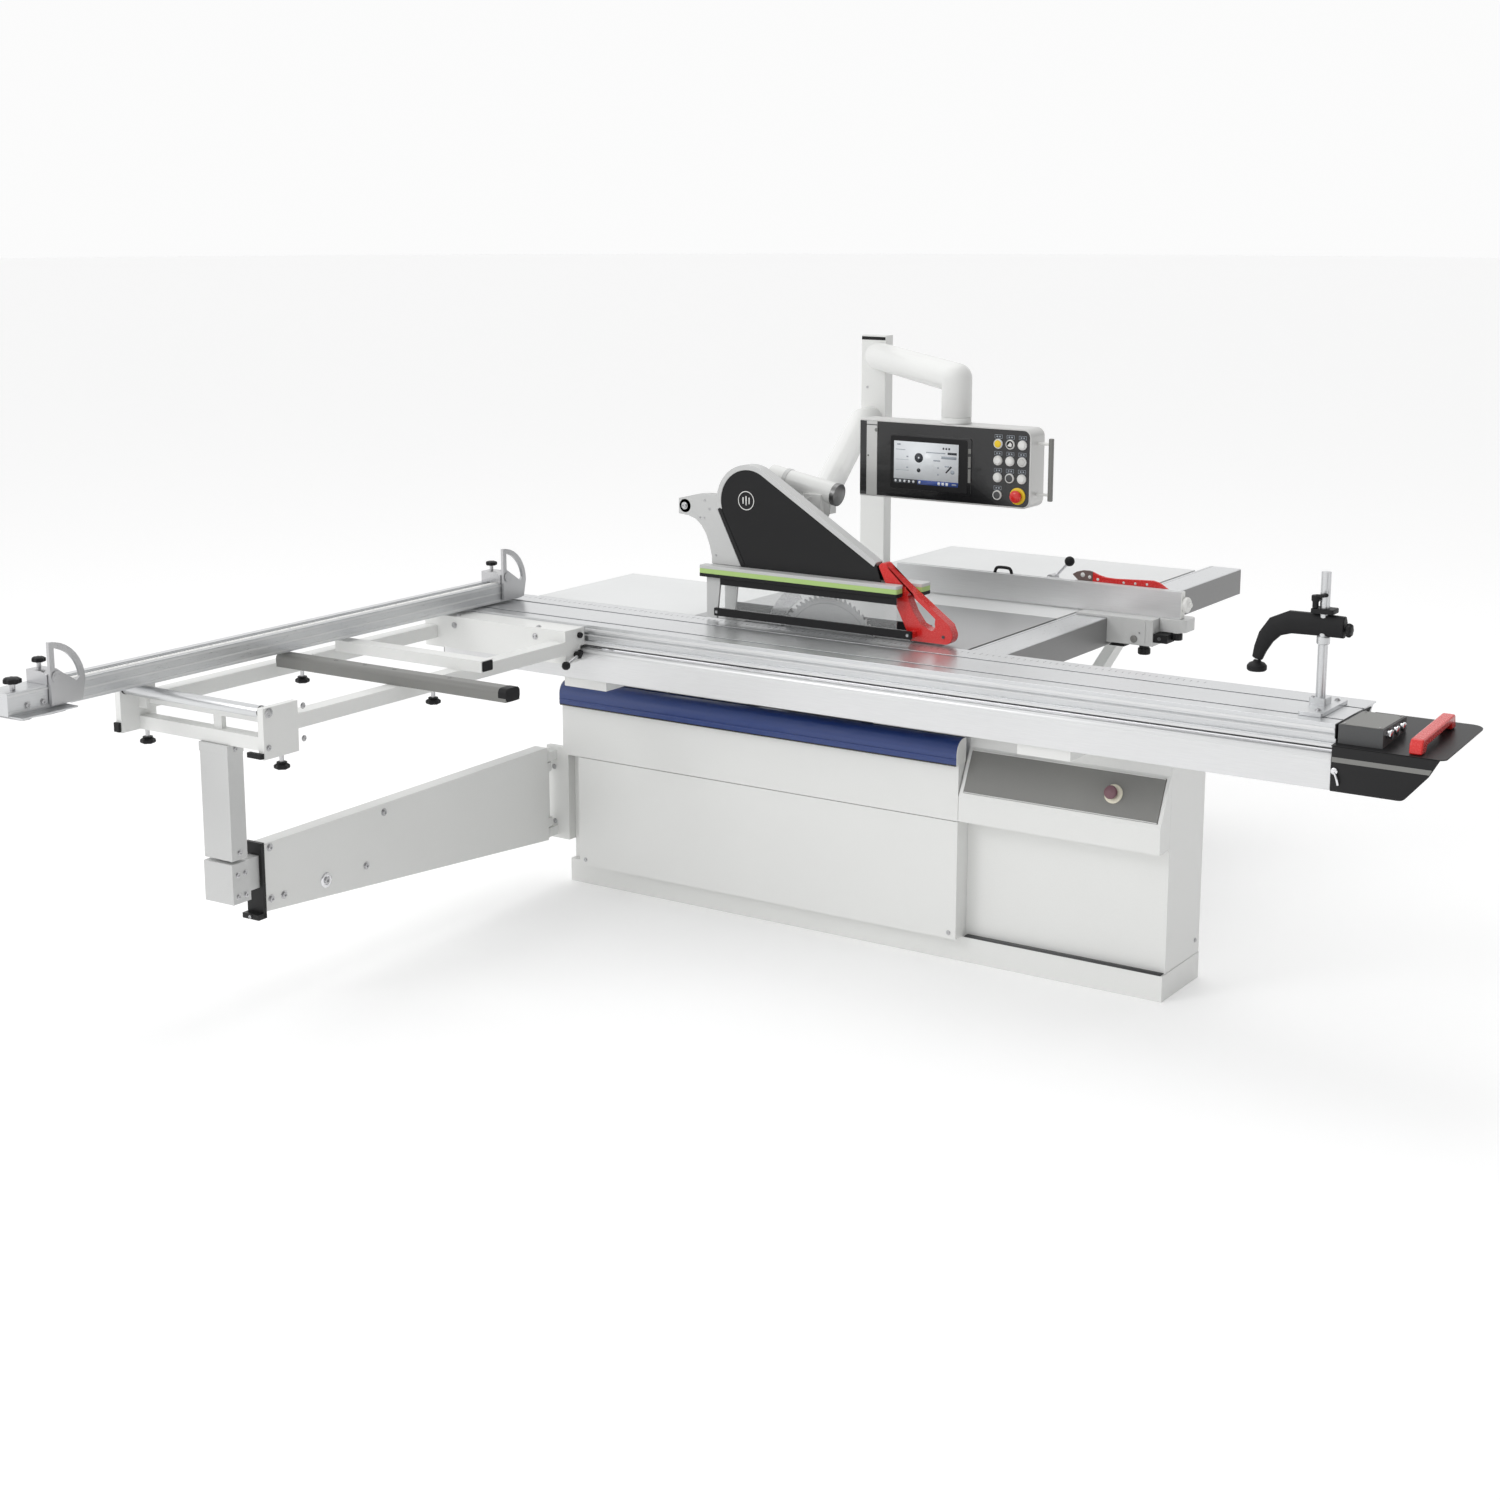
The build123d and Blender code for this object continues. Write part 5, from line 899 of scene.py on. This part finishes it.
def guard_frame():
    """Rear bracket with its curved underside, the legs, bumpers, lower bars and nose."""
    lo, hi = node_box("guard_hood")
    px, pz = GUARD_PIVOT
    plate = [(px - 24, pz + 22), (px - 24, pz - 26), (396, 1211), (424, 1202), (446, 1184), (463, 1158),
             (476, 1124), (484, 1090), (484, 1069), (591, 1069), (506, 1238), (503, 1283), (470, 1283),
             (430, 1279)]
    bracket = Piece("guard_mount", "guard", 1.2)
    for y0, y1 in ((lo.y + 6, lo.y + 14), (hi.y - 14, hi.y - 6)):
        bracket.prism(plate, "y", y0, y1, LIGHT_GREY)
    bracket.box(px + 20, 484, lo.y + 8, hi.y - 8, 1247, 1252, LIGHT_GREY)
    bracket.box(485, 599, lo.y + 0.5, hi.y - 0.5, BUMPER_Z[0] + 1, BUMPER_Z[1] - 1, LIGHT_GREY)
    bracket.lathe([(22, lo.y + 6), (22, lo.y + 11), (17, lo.y + 13)], (px, 0, pz), BACK, LIGHT_GREY, 36)
    bracket.lathe([(20, hi.y - 10), (20, hi.y + 19)], (px, 0, pz), BACK, LIGHT_GREY, 36)
    for y0, y1 in ((SKIRT[0] + 12, SKIRT[0] + 20), (SKIRT[1] - 20, SKIRT[1] - 12)):
        bracket.prism([(484, 906), (522, 906), (536, 1034), (484, 1034)], "y", y0, y1, LIGHT_GREY)
    bracket.done("guard_bracket", slot="light_grey_paint")
    screws = Piece("guard_screws", "guard", 0.3)
    spots = ((440, 1208), (456, 1208), (458, 1262), (476, 1236), (500, 1096))
    screws.bolts([(x, lo.y + 6, z) for x, z in spots], FRONT, 3.2, STEEL, washer=False)
    screws.bolt((px, lo.y + 4, pz), FRONT, 8, STEEL)
    screws.done(slot="steel")
    bumpers = Piece("guard_bumpers", "guard", 2.2)
    lines = Piece("guard_bumper_strips", "guard", 1.0)
    for y0, y1, end in ((60, 98, 1164), (138, 190, 1205)):
        for z0, z1, kind in ((BUMPER_Z[0], 1045, BLACK_PLASTIC), (1059, BUMPER_Z[1], LIGHT_GREY)):
            bumpers.prism(rounded_box(466, end, y0, y1, 6), "z", z0, z1, kind)
        lines.prism(rounded_box(466.5, end - 0.5, y0 + 0.5, y1 - 0.5, 5.5), "z", 1044.4, 1059.6, GREEN)
    for y0, y1 in ((SKIRT[0] + 2, SKIRT[0] + 4.6), (SKIRT[1] - 4.6, SKIRT[1] - 2)):
        bumpers.box(540, 1160, y0, y1, 1013, 1035, BLACK_PLASTIC)
    for y0, y1 in ((SKIRT[0] + 1, SKIRT[0] + 12), (SKIRT[1] - 12, SKIRT[1] - 1)):
        bumpers.box(518, 1210, y0, y1, *LOWER_BAR_Z, BLACK_PLASTIC)
    bumpers.done("guard_bars", slot="black_plastic")
    lines.done(slot="white_plastic")
    pins = Piece("guard_bar_pins", "guard", 0.4)
    for x in (528, 1199):
        place = (x, SKIRT[0] + 1, sum(LOWER_BAR_Z) / 2)
        pins.lathe([(6.5, 0), (6.5, 0.8), (4.5, 0.8), (4.2, 0.1)], place, FRONT, DARK_GREY, 28)
        pins.bolt(place, FRONT, 4, STEEL, washer=False)
    pins.done(slot="steel")
    nose = Piece("guard_front", "guard", 2.5)
    outer = ([(1190, 906)] + arc((1302, 932), 26, -88, 30, 7) + [(1316, 964), (1230, 1026), (1112, 1110)]
             + arc((1094, 1112), 15, 50, 170, 4) + [(1100, 1072), (1126, 1030)])
    inner = ([(1222, 958)] + arc((1256, 956), 14, -88, 30, 7) + [(1270, 978), (1240, 1002), (1206, 1027)]
             + arc((1190, 1036), 12, 50, 170, 4) + [(1182, 1022), (1196, 992)])
    rings = []
    for points, y in ((outer, NOSE_Y[0]), (outer, NOSE_Y[1]), (inner, NOSE_Y[1]), (inner, NOSE_Y[0])):
        rings.append([(u, y, v) for u, v in points])
    nose.loft(rings, RED, closed=True)
    nose.box(1161, 1173, lo.y + 0.5, hi.y - 0.5, 1040, 1063, RED)
    nose.box(1194, 1209, SKIRT[0] + 13, SKIRT[1] - 13, 918, 937, RED)
    nose.done("guard_nose", slot="red_plastic")
    spot = Piece("guard_front_pin", "guard", 0.3)
    spot.lathe([(5, 0), (5, 1.2), (3, 1.2), (2.8, 0.2)], (1298, NOSE_Y[0], 928), FRONT, DARK_GREY, 24)
    spot.done(slot="steel")


def guard_pipe():
    """End cap, clamp band and seam of the extraction tube."""
    piece = Piece("guard_pipe_trim", "base", 0.5)
    way = Vector((240, 0, -44)).normalized()
    end = Vector((840, 265, 1288))
    piece.lathe([(34.6, -14), (34.6, 1.5), (32, 3), (2, 3.2)], end, way, MOTOR_GREY, 40)
    piece.lathe([(35.4, -190), (35.4, -176)], end, way, LIGHT_GREY, 40)
    start, stop = Vector((345, 1225, 1400)), Vector((777, 235, 1242))
    along = (stop - start).normalized()
    piece.lathe([(45.2, 0), (45.2, 9)], stop - along * 96, along, LIGHT_GREY, 48)
    piece.lathe([(44.5, 0), (44.5, 1.6)], stop - along * 62, along, DARK_GREY, 48)
    piece.done(slot="steel")


def column_trim():
    """Black cap of the column, its screw and the bolts of its foot."""
    cap = Piece("column_trim", "base", 0.6)
    cap.box(303, 397, 1289.2, 1340.8, 1676, 1687, BLACK_PLASTIC)
    cap.bolt((327, 1290, 1512), FRONT, 4, STEEL, washer=False)
    for x in (240, 460):
        cap.bolts([(x, y, 12) for y in (1225, 1405)], UP, 10, STEEL)
    cap.done(slot="black_plastic")


# ------------------------------------------------------------------ control panel
PANEL_FRONT = 600.0
STOP_PLACE = (1272, PANEL_FRONT, 1279)


def panel_case():
    """Aluminium case with large right-hand corners, black front, screen and side handle."""
    x0, x1, z0, z1 = 713.0, 1314.0, 1241.0, 1484.0
    front = PANEL_FRONT + 2
    corner = 26

    def shape(grow):
        r = corner + grow
        return ([(x0, z0 - grow)] + arc((x1 - corner, z0 + corner), r, -90, 0, 8)
                + arc((x1 - corner, z1 - corner), r, 0, 90, 8) + [(x0, z1 + grow)])

    case = Piece("panel_case", "panel", 1.4)
    case.prism(shape(-0.1), "y", front - 1.2, 690, PANEL_METAL)
    case.lathe([(46.4, 1483.5), (46.4, 1503.6)], (1031, 646, 0), UP, WHITE, 48)
    case.lathe([(49, 1483.5), (49, 1487)], (1031, 646, 0), UP, PANEL_METAL, 48)
    case.done("panel_housing", slot="aluminium")
    face = Piece("panel_front", "panel", 0.5)
    face.prism(shape(-5), "y", front - 2, front + 1, GLOSS_BLACK)
    face.done("panel_fascia", slot="black_plastic")
    strip = Piece("panel_strip", "panel", 0.5)
    strip.box(738, 776, front - 4.2, front, z0 + 5.2, z1 - 5.2, PANEL_METAL)
    strip.box(738, 776, front - 4.6, front - 4, z1 - 18, z1 - 15, DARK_GREY)
    strip.lathe([(3, 0), (3, 0.7)], (744, front - 4, 1370), FRONT, DARK_GREY, 20)
    strip.lathe([(6, 0), (6, 1.5), (4, 2.4)], (773, front - 3.4, 1452), FRONT, MID_GREY, 24)
    strip.done(slot="aluminium")
    bezel = Piece("screen_frame", "panel", 1.0)
    bezel.prism(rounded_box(820, 1112, 1268, 1445, 10, 5), "y", front - 4.6, front, GLOSS_BLACK)
    bezel.prism(rounded_box(826, 1098, 1274, 1439, 7, 5), "y", front - 5.6, front - 4, BLACK)
    for low, high in ((1398, 1413), (1355, 1389), (1308, 1350)):
        bezel.box(1101, 1110, front - 5.4, front - 4, low, high, MID_GREY)
    bezel.done(slot="black_plastic")
    screen()
    handle = Piece("panel_handle", "panel", 1.6)
    handle.prism(rounded_box(1350, 1364, 641, 657, 5), "z", 1264, 1455, MID_GREY)
    for z in (1283, 1438):
        handle.prism(rounded_box(642, 656, z - 4, z + 4, 3), "x", 1312, 1352, WHITE_PLASTIC)
    handle.done(slot="grey_paint")


def screen():
    """The display: a pale page with two blade discs, plain bars and a toolbar."""
    y = PANEL_FRONT - 3.6
    page = Piece("screen_page", "panel", 0)
    layer = {"page": (y - 0.35, y), "mark": (y - 0.6, y - 0.3), "dot": (y - 0.8, y - 0.5)}

    def bar(u0, u1, v0, v1, level, material):
        page.box(u0, u1, *layer[level], v0, v1, material)

    bar(839, 1068, 1291, 1423, "page", SCREEN_PALE)
    bar(839, 925, 1291, 1305, "mark", SCREEN_DARK)
    bar(925, 1068, 1291, 1305, "mark", SCREEN_BLUE)
    for x in (846, 862, 878, 894, 910, 932):
        page.lathe([(4, 0), (4, 0.25)], (x, y - 0.5, 1298), FRONT, SCREEN_PALE, 20)
    for x in (996, 1010, 1024):
        page.prism(rounded_box(x, x + 9, 1293.5, 1302.5, 2, 3), "y", *layer["dot"], SCREEN_PALE)
    bar(1046, 1062, 1296, 1300, "dot", SCREEN_MID)
    page.lathe([(15, 0), (15, 0.3)], (928, y - 0.3, 1374), FRONT, SCREEN_DARK, 40)
    page.lathe([(3.2, 0), (3.2, 0.3)], (928, y - 0.5, 1374), FRONT, SCREEN_PALE, 20)
    page.lathe([(6.5, 0), (6.5, 0.3)], (928, y - 0.3, 1335), FRONT, SCREEN_DARK, 28)
    for x in (1012, 1022, 1032):
        bar(x, x + 6, 1405, 1411, "mark", SCREEN_DARK)
    for u0, u1, v0, v1, kind in ((1030, 1062, 1390, 1397, SCREEN_DARK), (1008, 1061, 1376, 1384, SCREEN_MID),
                                 (954, 1022, 1392, 1394.5, SCREEN_MID), (980, 1004, 1367, 1371, SCREEN_MID),
                                 (846, 880, 1396, 1397.5, SCREEN_MID), (846, 892, 1365, 1366, SCREEN_MID),
                                 (846, 892, 1332, 1333, SCREEN_MID), (884, 890, 1374, 1378, SCREEN_MID),
                                 (884, 890, 1340, 1344, SCREEN_MID), (994, 1000, 1345, 1349, SCREEN_MID),
                                 (994, 1000, 1324, 1328, SCREEN_MID), (850, 862, 1411, 1415, SCREEN_MID)):
        bar(u0, u1, v0, v1, "mark", kind)
    page.prism([(1022, 1334), (1027, 1332), (1046, 1352), (1041, 1355)], "y", *layer["mark"], SCREEN_DARK)
    bar(1020, 1036, 1351, 1355, "mark", SCREEN_MID)
    page.lathe([(7, 0), (7, 0.2)], (1048, y - 0.3, 1336), FRONT, SCREEN_MID, 24)
    page.done(slot="white_plastic")


# Bars round and inside the plain frame above each key, from the key's centre: left, right, bottom, top.
KEY_FRAME = [(-13, 13, 16, 17), (-13, 13, 27, 28), (-13, -12, 16, 28), (12, 13, 16, 28),
             (-7, -2, 20, 24), (2, 7, 20, 24)]


def panel_keys():
    """Push-buttons: fixed bright bezels, moving caps, and plain frames above them."""
    front = PANEL_FRONT
    spots = [(x, z) for z in (1435, 1384, 1332, 1278) for x in (1203, 1244, 1285)
             if not (z == 1278 and x > 1203)]
    looks = [YELLOW, BLACK_PLASTIC, WHITE_PLASTIC, WHITE_PLASTIC, WHITE_PLASTIC, CREAM_GREY,
             WHITE_PLASTIC, DARK_GREY, WHITE_PLASTIC, DARK_GREY]
    bezels = Piece("panel_bezels", "panel", 0.4)
    caps = Piece("panel_caps", "panel_keys", 0.5)
    for (x, z), look in zip(spots, looks):
        bezels.lathe([(14.8, -1), (14.8, 4), (13.6, 6), (11.6, 6), (11.4, -1)], (x, front, z), FRONT,
                     WHITE_PLASTIC, 36, closed=True)
        caps.lathe([(11, -8), (11, 6.5), (9.6, 8), (3, 8.6)], (x, front, z), FRONT, look, 36)
        for u0, u1, v0, v1 in KEY_FRAME:
            bezels.box(x + u0, x + u1, front - 0.5, front + 0.1, z + v0, z + v1, SCREEN_MID)
    x, z = spots[1]
    caps.prism([(x - 7, z - 4), (x + 7, z - 7), (x + 9, z + 1), (x + 3, z + 8)], "y", front - 9.2, front - 8,
               WHITE_PLASTIC)
    bezels.done(slot="white_plastic")
    caps.done("panel_buttons", slot="white_plastic")
    ring = Piece("stop_ring", "panel", 0.6)
    ring.lathe([(26, -1), (26, 2.6), (24, 4), (15, 4), (13.5, -1)], STOP_PLACE, FRONT, YELLOW, 44,
               closed=True)
    ring.done(slot="red_plastic")
    stop = Piece("stop_cap", "emergency_stop", 0.8)
    stop.lathe([(12, -10), (12, 9), (17, 10), (19, 13), (19, 18), (16, 21.5), (8, 23.4), (1, 23.8)],
               STOP_PLACE, FRONT, RED, 44)
    stop.done("estop_button", slot="red_plastic")


# ------------------------------------------------------------------ rip fence
def rip_details():
    """Rip fence: rail faces with painted shade on the front and right sides, bar end and handle, block, lever
    and the push stick.
    """
    lo, hi = node_box("rip_rail")
    rail = Piece("rail_shade_faces", "base", 0.6)
    # Thin plates over the rail's right and front faces in the darker grey: painted shade and painted dark
    # reflection.
    rail.box(hi.x - 0.2, hi.x + 0.5, lo.y + 1, hi.y - 1, lo.z + 1, hi.z - 3, RAIL_FACE_SHADE)
    rail.box(lo.x + 1, hi.x - 1, lo.y - 1.5, lo.y + 0.2, lo.z + 1, hi.z - 1.5, RAIL_FACE_SHADE)
    rail.box(lo.x + 12, lo.x + 13.5, lo.y + 6, hi.y - 4, hi.z - 0.2, hi.z + 0.15, MID_GREY)
    rail.done(slot="grey_paint")
    bar_lo, bar_hi = node_box("rip_fence_bar")
    middle = (bar_lo.y + bar_hi.y) / 2
    trim = Piece("rip_bar_trim", "rip_bar", 1.2)
    trim.box(bar_hi.x - 0.2, bar_hi.x + 3, bar_lo.y + 0.6, bar_hi.y - 0.6, bar_lo.z + 0.6, bar_hi.z - 0.6,
             WHITE_PLASTIC)
    trim.lathe([(22, 0), (24, 3), (24, 12), (20, 16), (6, 17)], (bar_hi.x + 3, middle + 8, 948), RIGHT,
               WHITE_PLASTIC, 40)
    trim.lathe([(8, 16), (8, 23), (6, 25)], (bar_hi.x + 3, middle + 8, 948), RIGHT, WHITE_PLASTIC, 24)
    grip = [(1065, bar_hi.z - 1), (1070, 1002), (1080, 1007), (1111, 1007), (1121, 1002),
            (1126, bar_hi.z - 1)]
    trim.sweep([(x, middle, z) for x, z in grip], 5, BLACK_PLASTIC, 14)
    trim.done(slot="white_plastic")
    detail = Piece("rip_block_trim", "rip_carriage", 0.8)
    face = node_box("rip_fence_carriage")[0].y
    detail.prism(rounded_box(1552, 1624, 826, 904, 12, 5), "y", face - 3, face + 0.4, LIGHT_GREY)
    detail.lathe([(11.5, 0), (11.5, 3), (9.5, 4.6), (3, 5)], (1588, face - 3, 842), FRONT, MID_GREY, 32)
    detail.bolt((1606, face - 3, 862), FRONT, 3, STEEL, washer=False)
    detail.lathe([(17, -36), (19, -33), (19, -18), (15, -15), (15, 2)], (1600, 835, 823), UP, BLACK_PLASTIC,
                 48, lobes=12, lobe_depth=0.04)
    detail.lathe([(16, -26), (17, -24), (17, -6), (13, -3)], (1706, 835, 869), UP, BLACK_PLASTIC, 48,
                 lobes=12, lobe_depth=0.04)
    detail.box(1628, 1694, face + 4, face + 60, 836, 862, BLACK_PLASTIC)
    detail.lathe([(6, 0), (6, 1), (4, 1)], (1668, face + 4, 849), FRONT, DARK_GREY, 24)
    detail.prism([(1500, 812), (1552, 812), (1552, 838), (1530, 838)], "y", face + 6, face + 46,
                 BLACK_PLASTIC)
    detail.done(slot="black_plastic")
    lever_lo, lever_hi = node_box("rip_fence_lever")
    ball = Vector((lever_hi.x - 16, lever_hi.y - 16, lever_hi.z - 16))
    root = Vector((1254, ball.y, 985))
    lever = Piece("rip_lever_arm", "rip_lever", 0.8)
    lever.lathe([(13, lever_lo.y), (13, ball.y + 7), (10, ball.y + 9)], (1254, 0, 985), BACK, STEEL, 32)
    lever.sweep([root, (root + ball) / 2, ball], 5.4, CHROME, 18)
    turns = [math.radians(angle) for angle in range(0, 181, 15)]
    lever.lathe([(16 * math.sin(turn) + 0.05, -16 * math.cos(turn)) for turn in turns],
                ball, (ball - root).normalized(), BLACK_PLASTIC, 32)
    lever.done("rip_fence_lever", slot="black_plastic")
    stick_lo, stick_hi = node_box("push_stick")
    y0, y1 = stick_lo.y, stick_hi.y
    stick = Piece("stick_body", "stick", 1.6)
    head = [(1366, 976), (1352, 986), (1330, 1006), (1345, 1015), (1366, 1021), (1388, 1021.5), (1400, 1019)]
    stick.prism([(1400, 962)] + head, "y", y0, y1, STICK_DULL)
    body = [(1400, 1019), (1422, 1011), (1445, 1006), (1480, 1005), (1560, 1009), (1604, 1011), (1626, 1006),
            (1668, 980), (1668, 966), (1640, 959), (1400, 962)]
    stick.prism(body, "y", y0, y1, RED)
    stick.done("push_stick", slot="red_plastic")
    holes = Piece("stick_holes", "stick", 0)
    for x, z, r in ((1366, 1007, 7.5), (1390, 1002, 5.5), (1418, 997, 4.5), (1506, 995, 4), (1545, 996, 4),
                    (1584, 997, 4)):
        holes.lathe([(r, y0 - 0.25), (r, y1 + 0.25)], (x, 0, z), BACK, WHITE_PLASTIC, 28)
    holes.done(slot="white_plastic")


def blade_details():
    """Dark ring line on both faces of the blade."""
    lo, hi = node_box("main_blade")
    centre = ((lo.x + hi.x) / 2, 0, (lo.z + hi.z) / 2)
    ring = Piece("blade_ring", "arbor", 0)
    for y in (lo.y - 0.12, hi.y + 0.02):
        ring.lathe([(150, y), (150, y + 0.1), (149, y + 0.1), (149, y)], centre, BACK, DARK_GREY, 96,
                   closed=True)
    ring.done(slot="steel")


base_details()
control_trim()
start_button()
cover_trim()
swing_arm()
carriage_details()
beam_details()
tray()
hold_down()
outrigger_details()
post_details()
roller_details()
fence_details()
flip_stop("inner", "inner_stop", "inner_flap", -73, "stop_base_inner", "stop_flap_inner")
flip_stop("outer", "fence_end", "outer_flap", -1872, "stop_base_outer", "stop_flap_outer")
fence_end_details()
guard_shell()
guard_frame()
guard_pipe()
column_trim()
panel_case()
panel_keys()
rip_details()
blade_details()
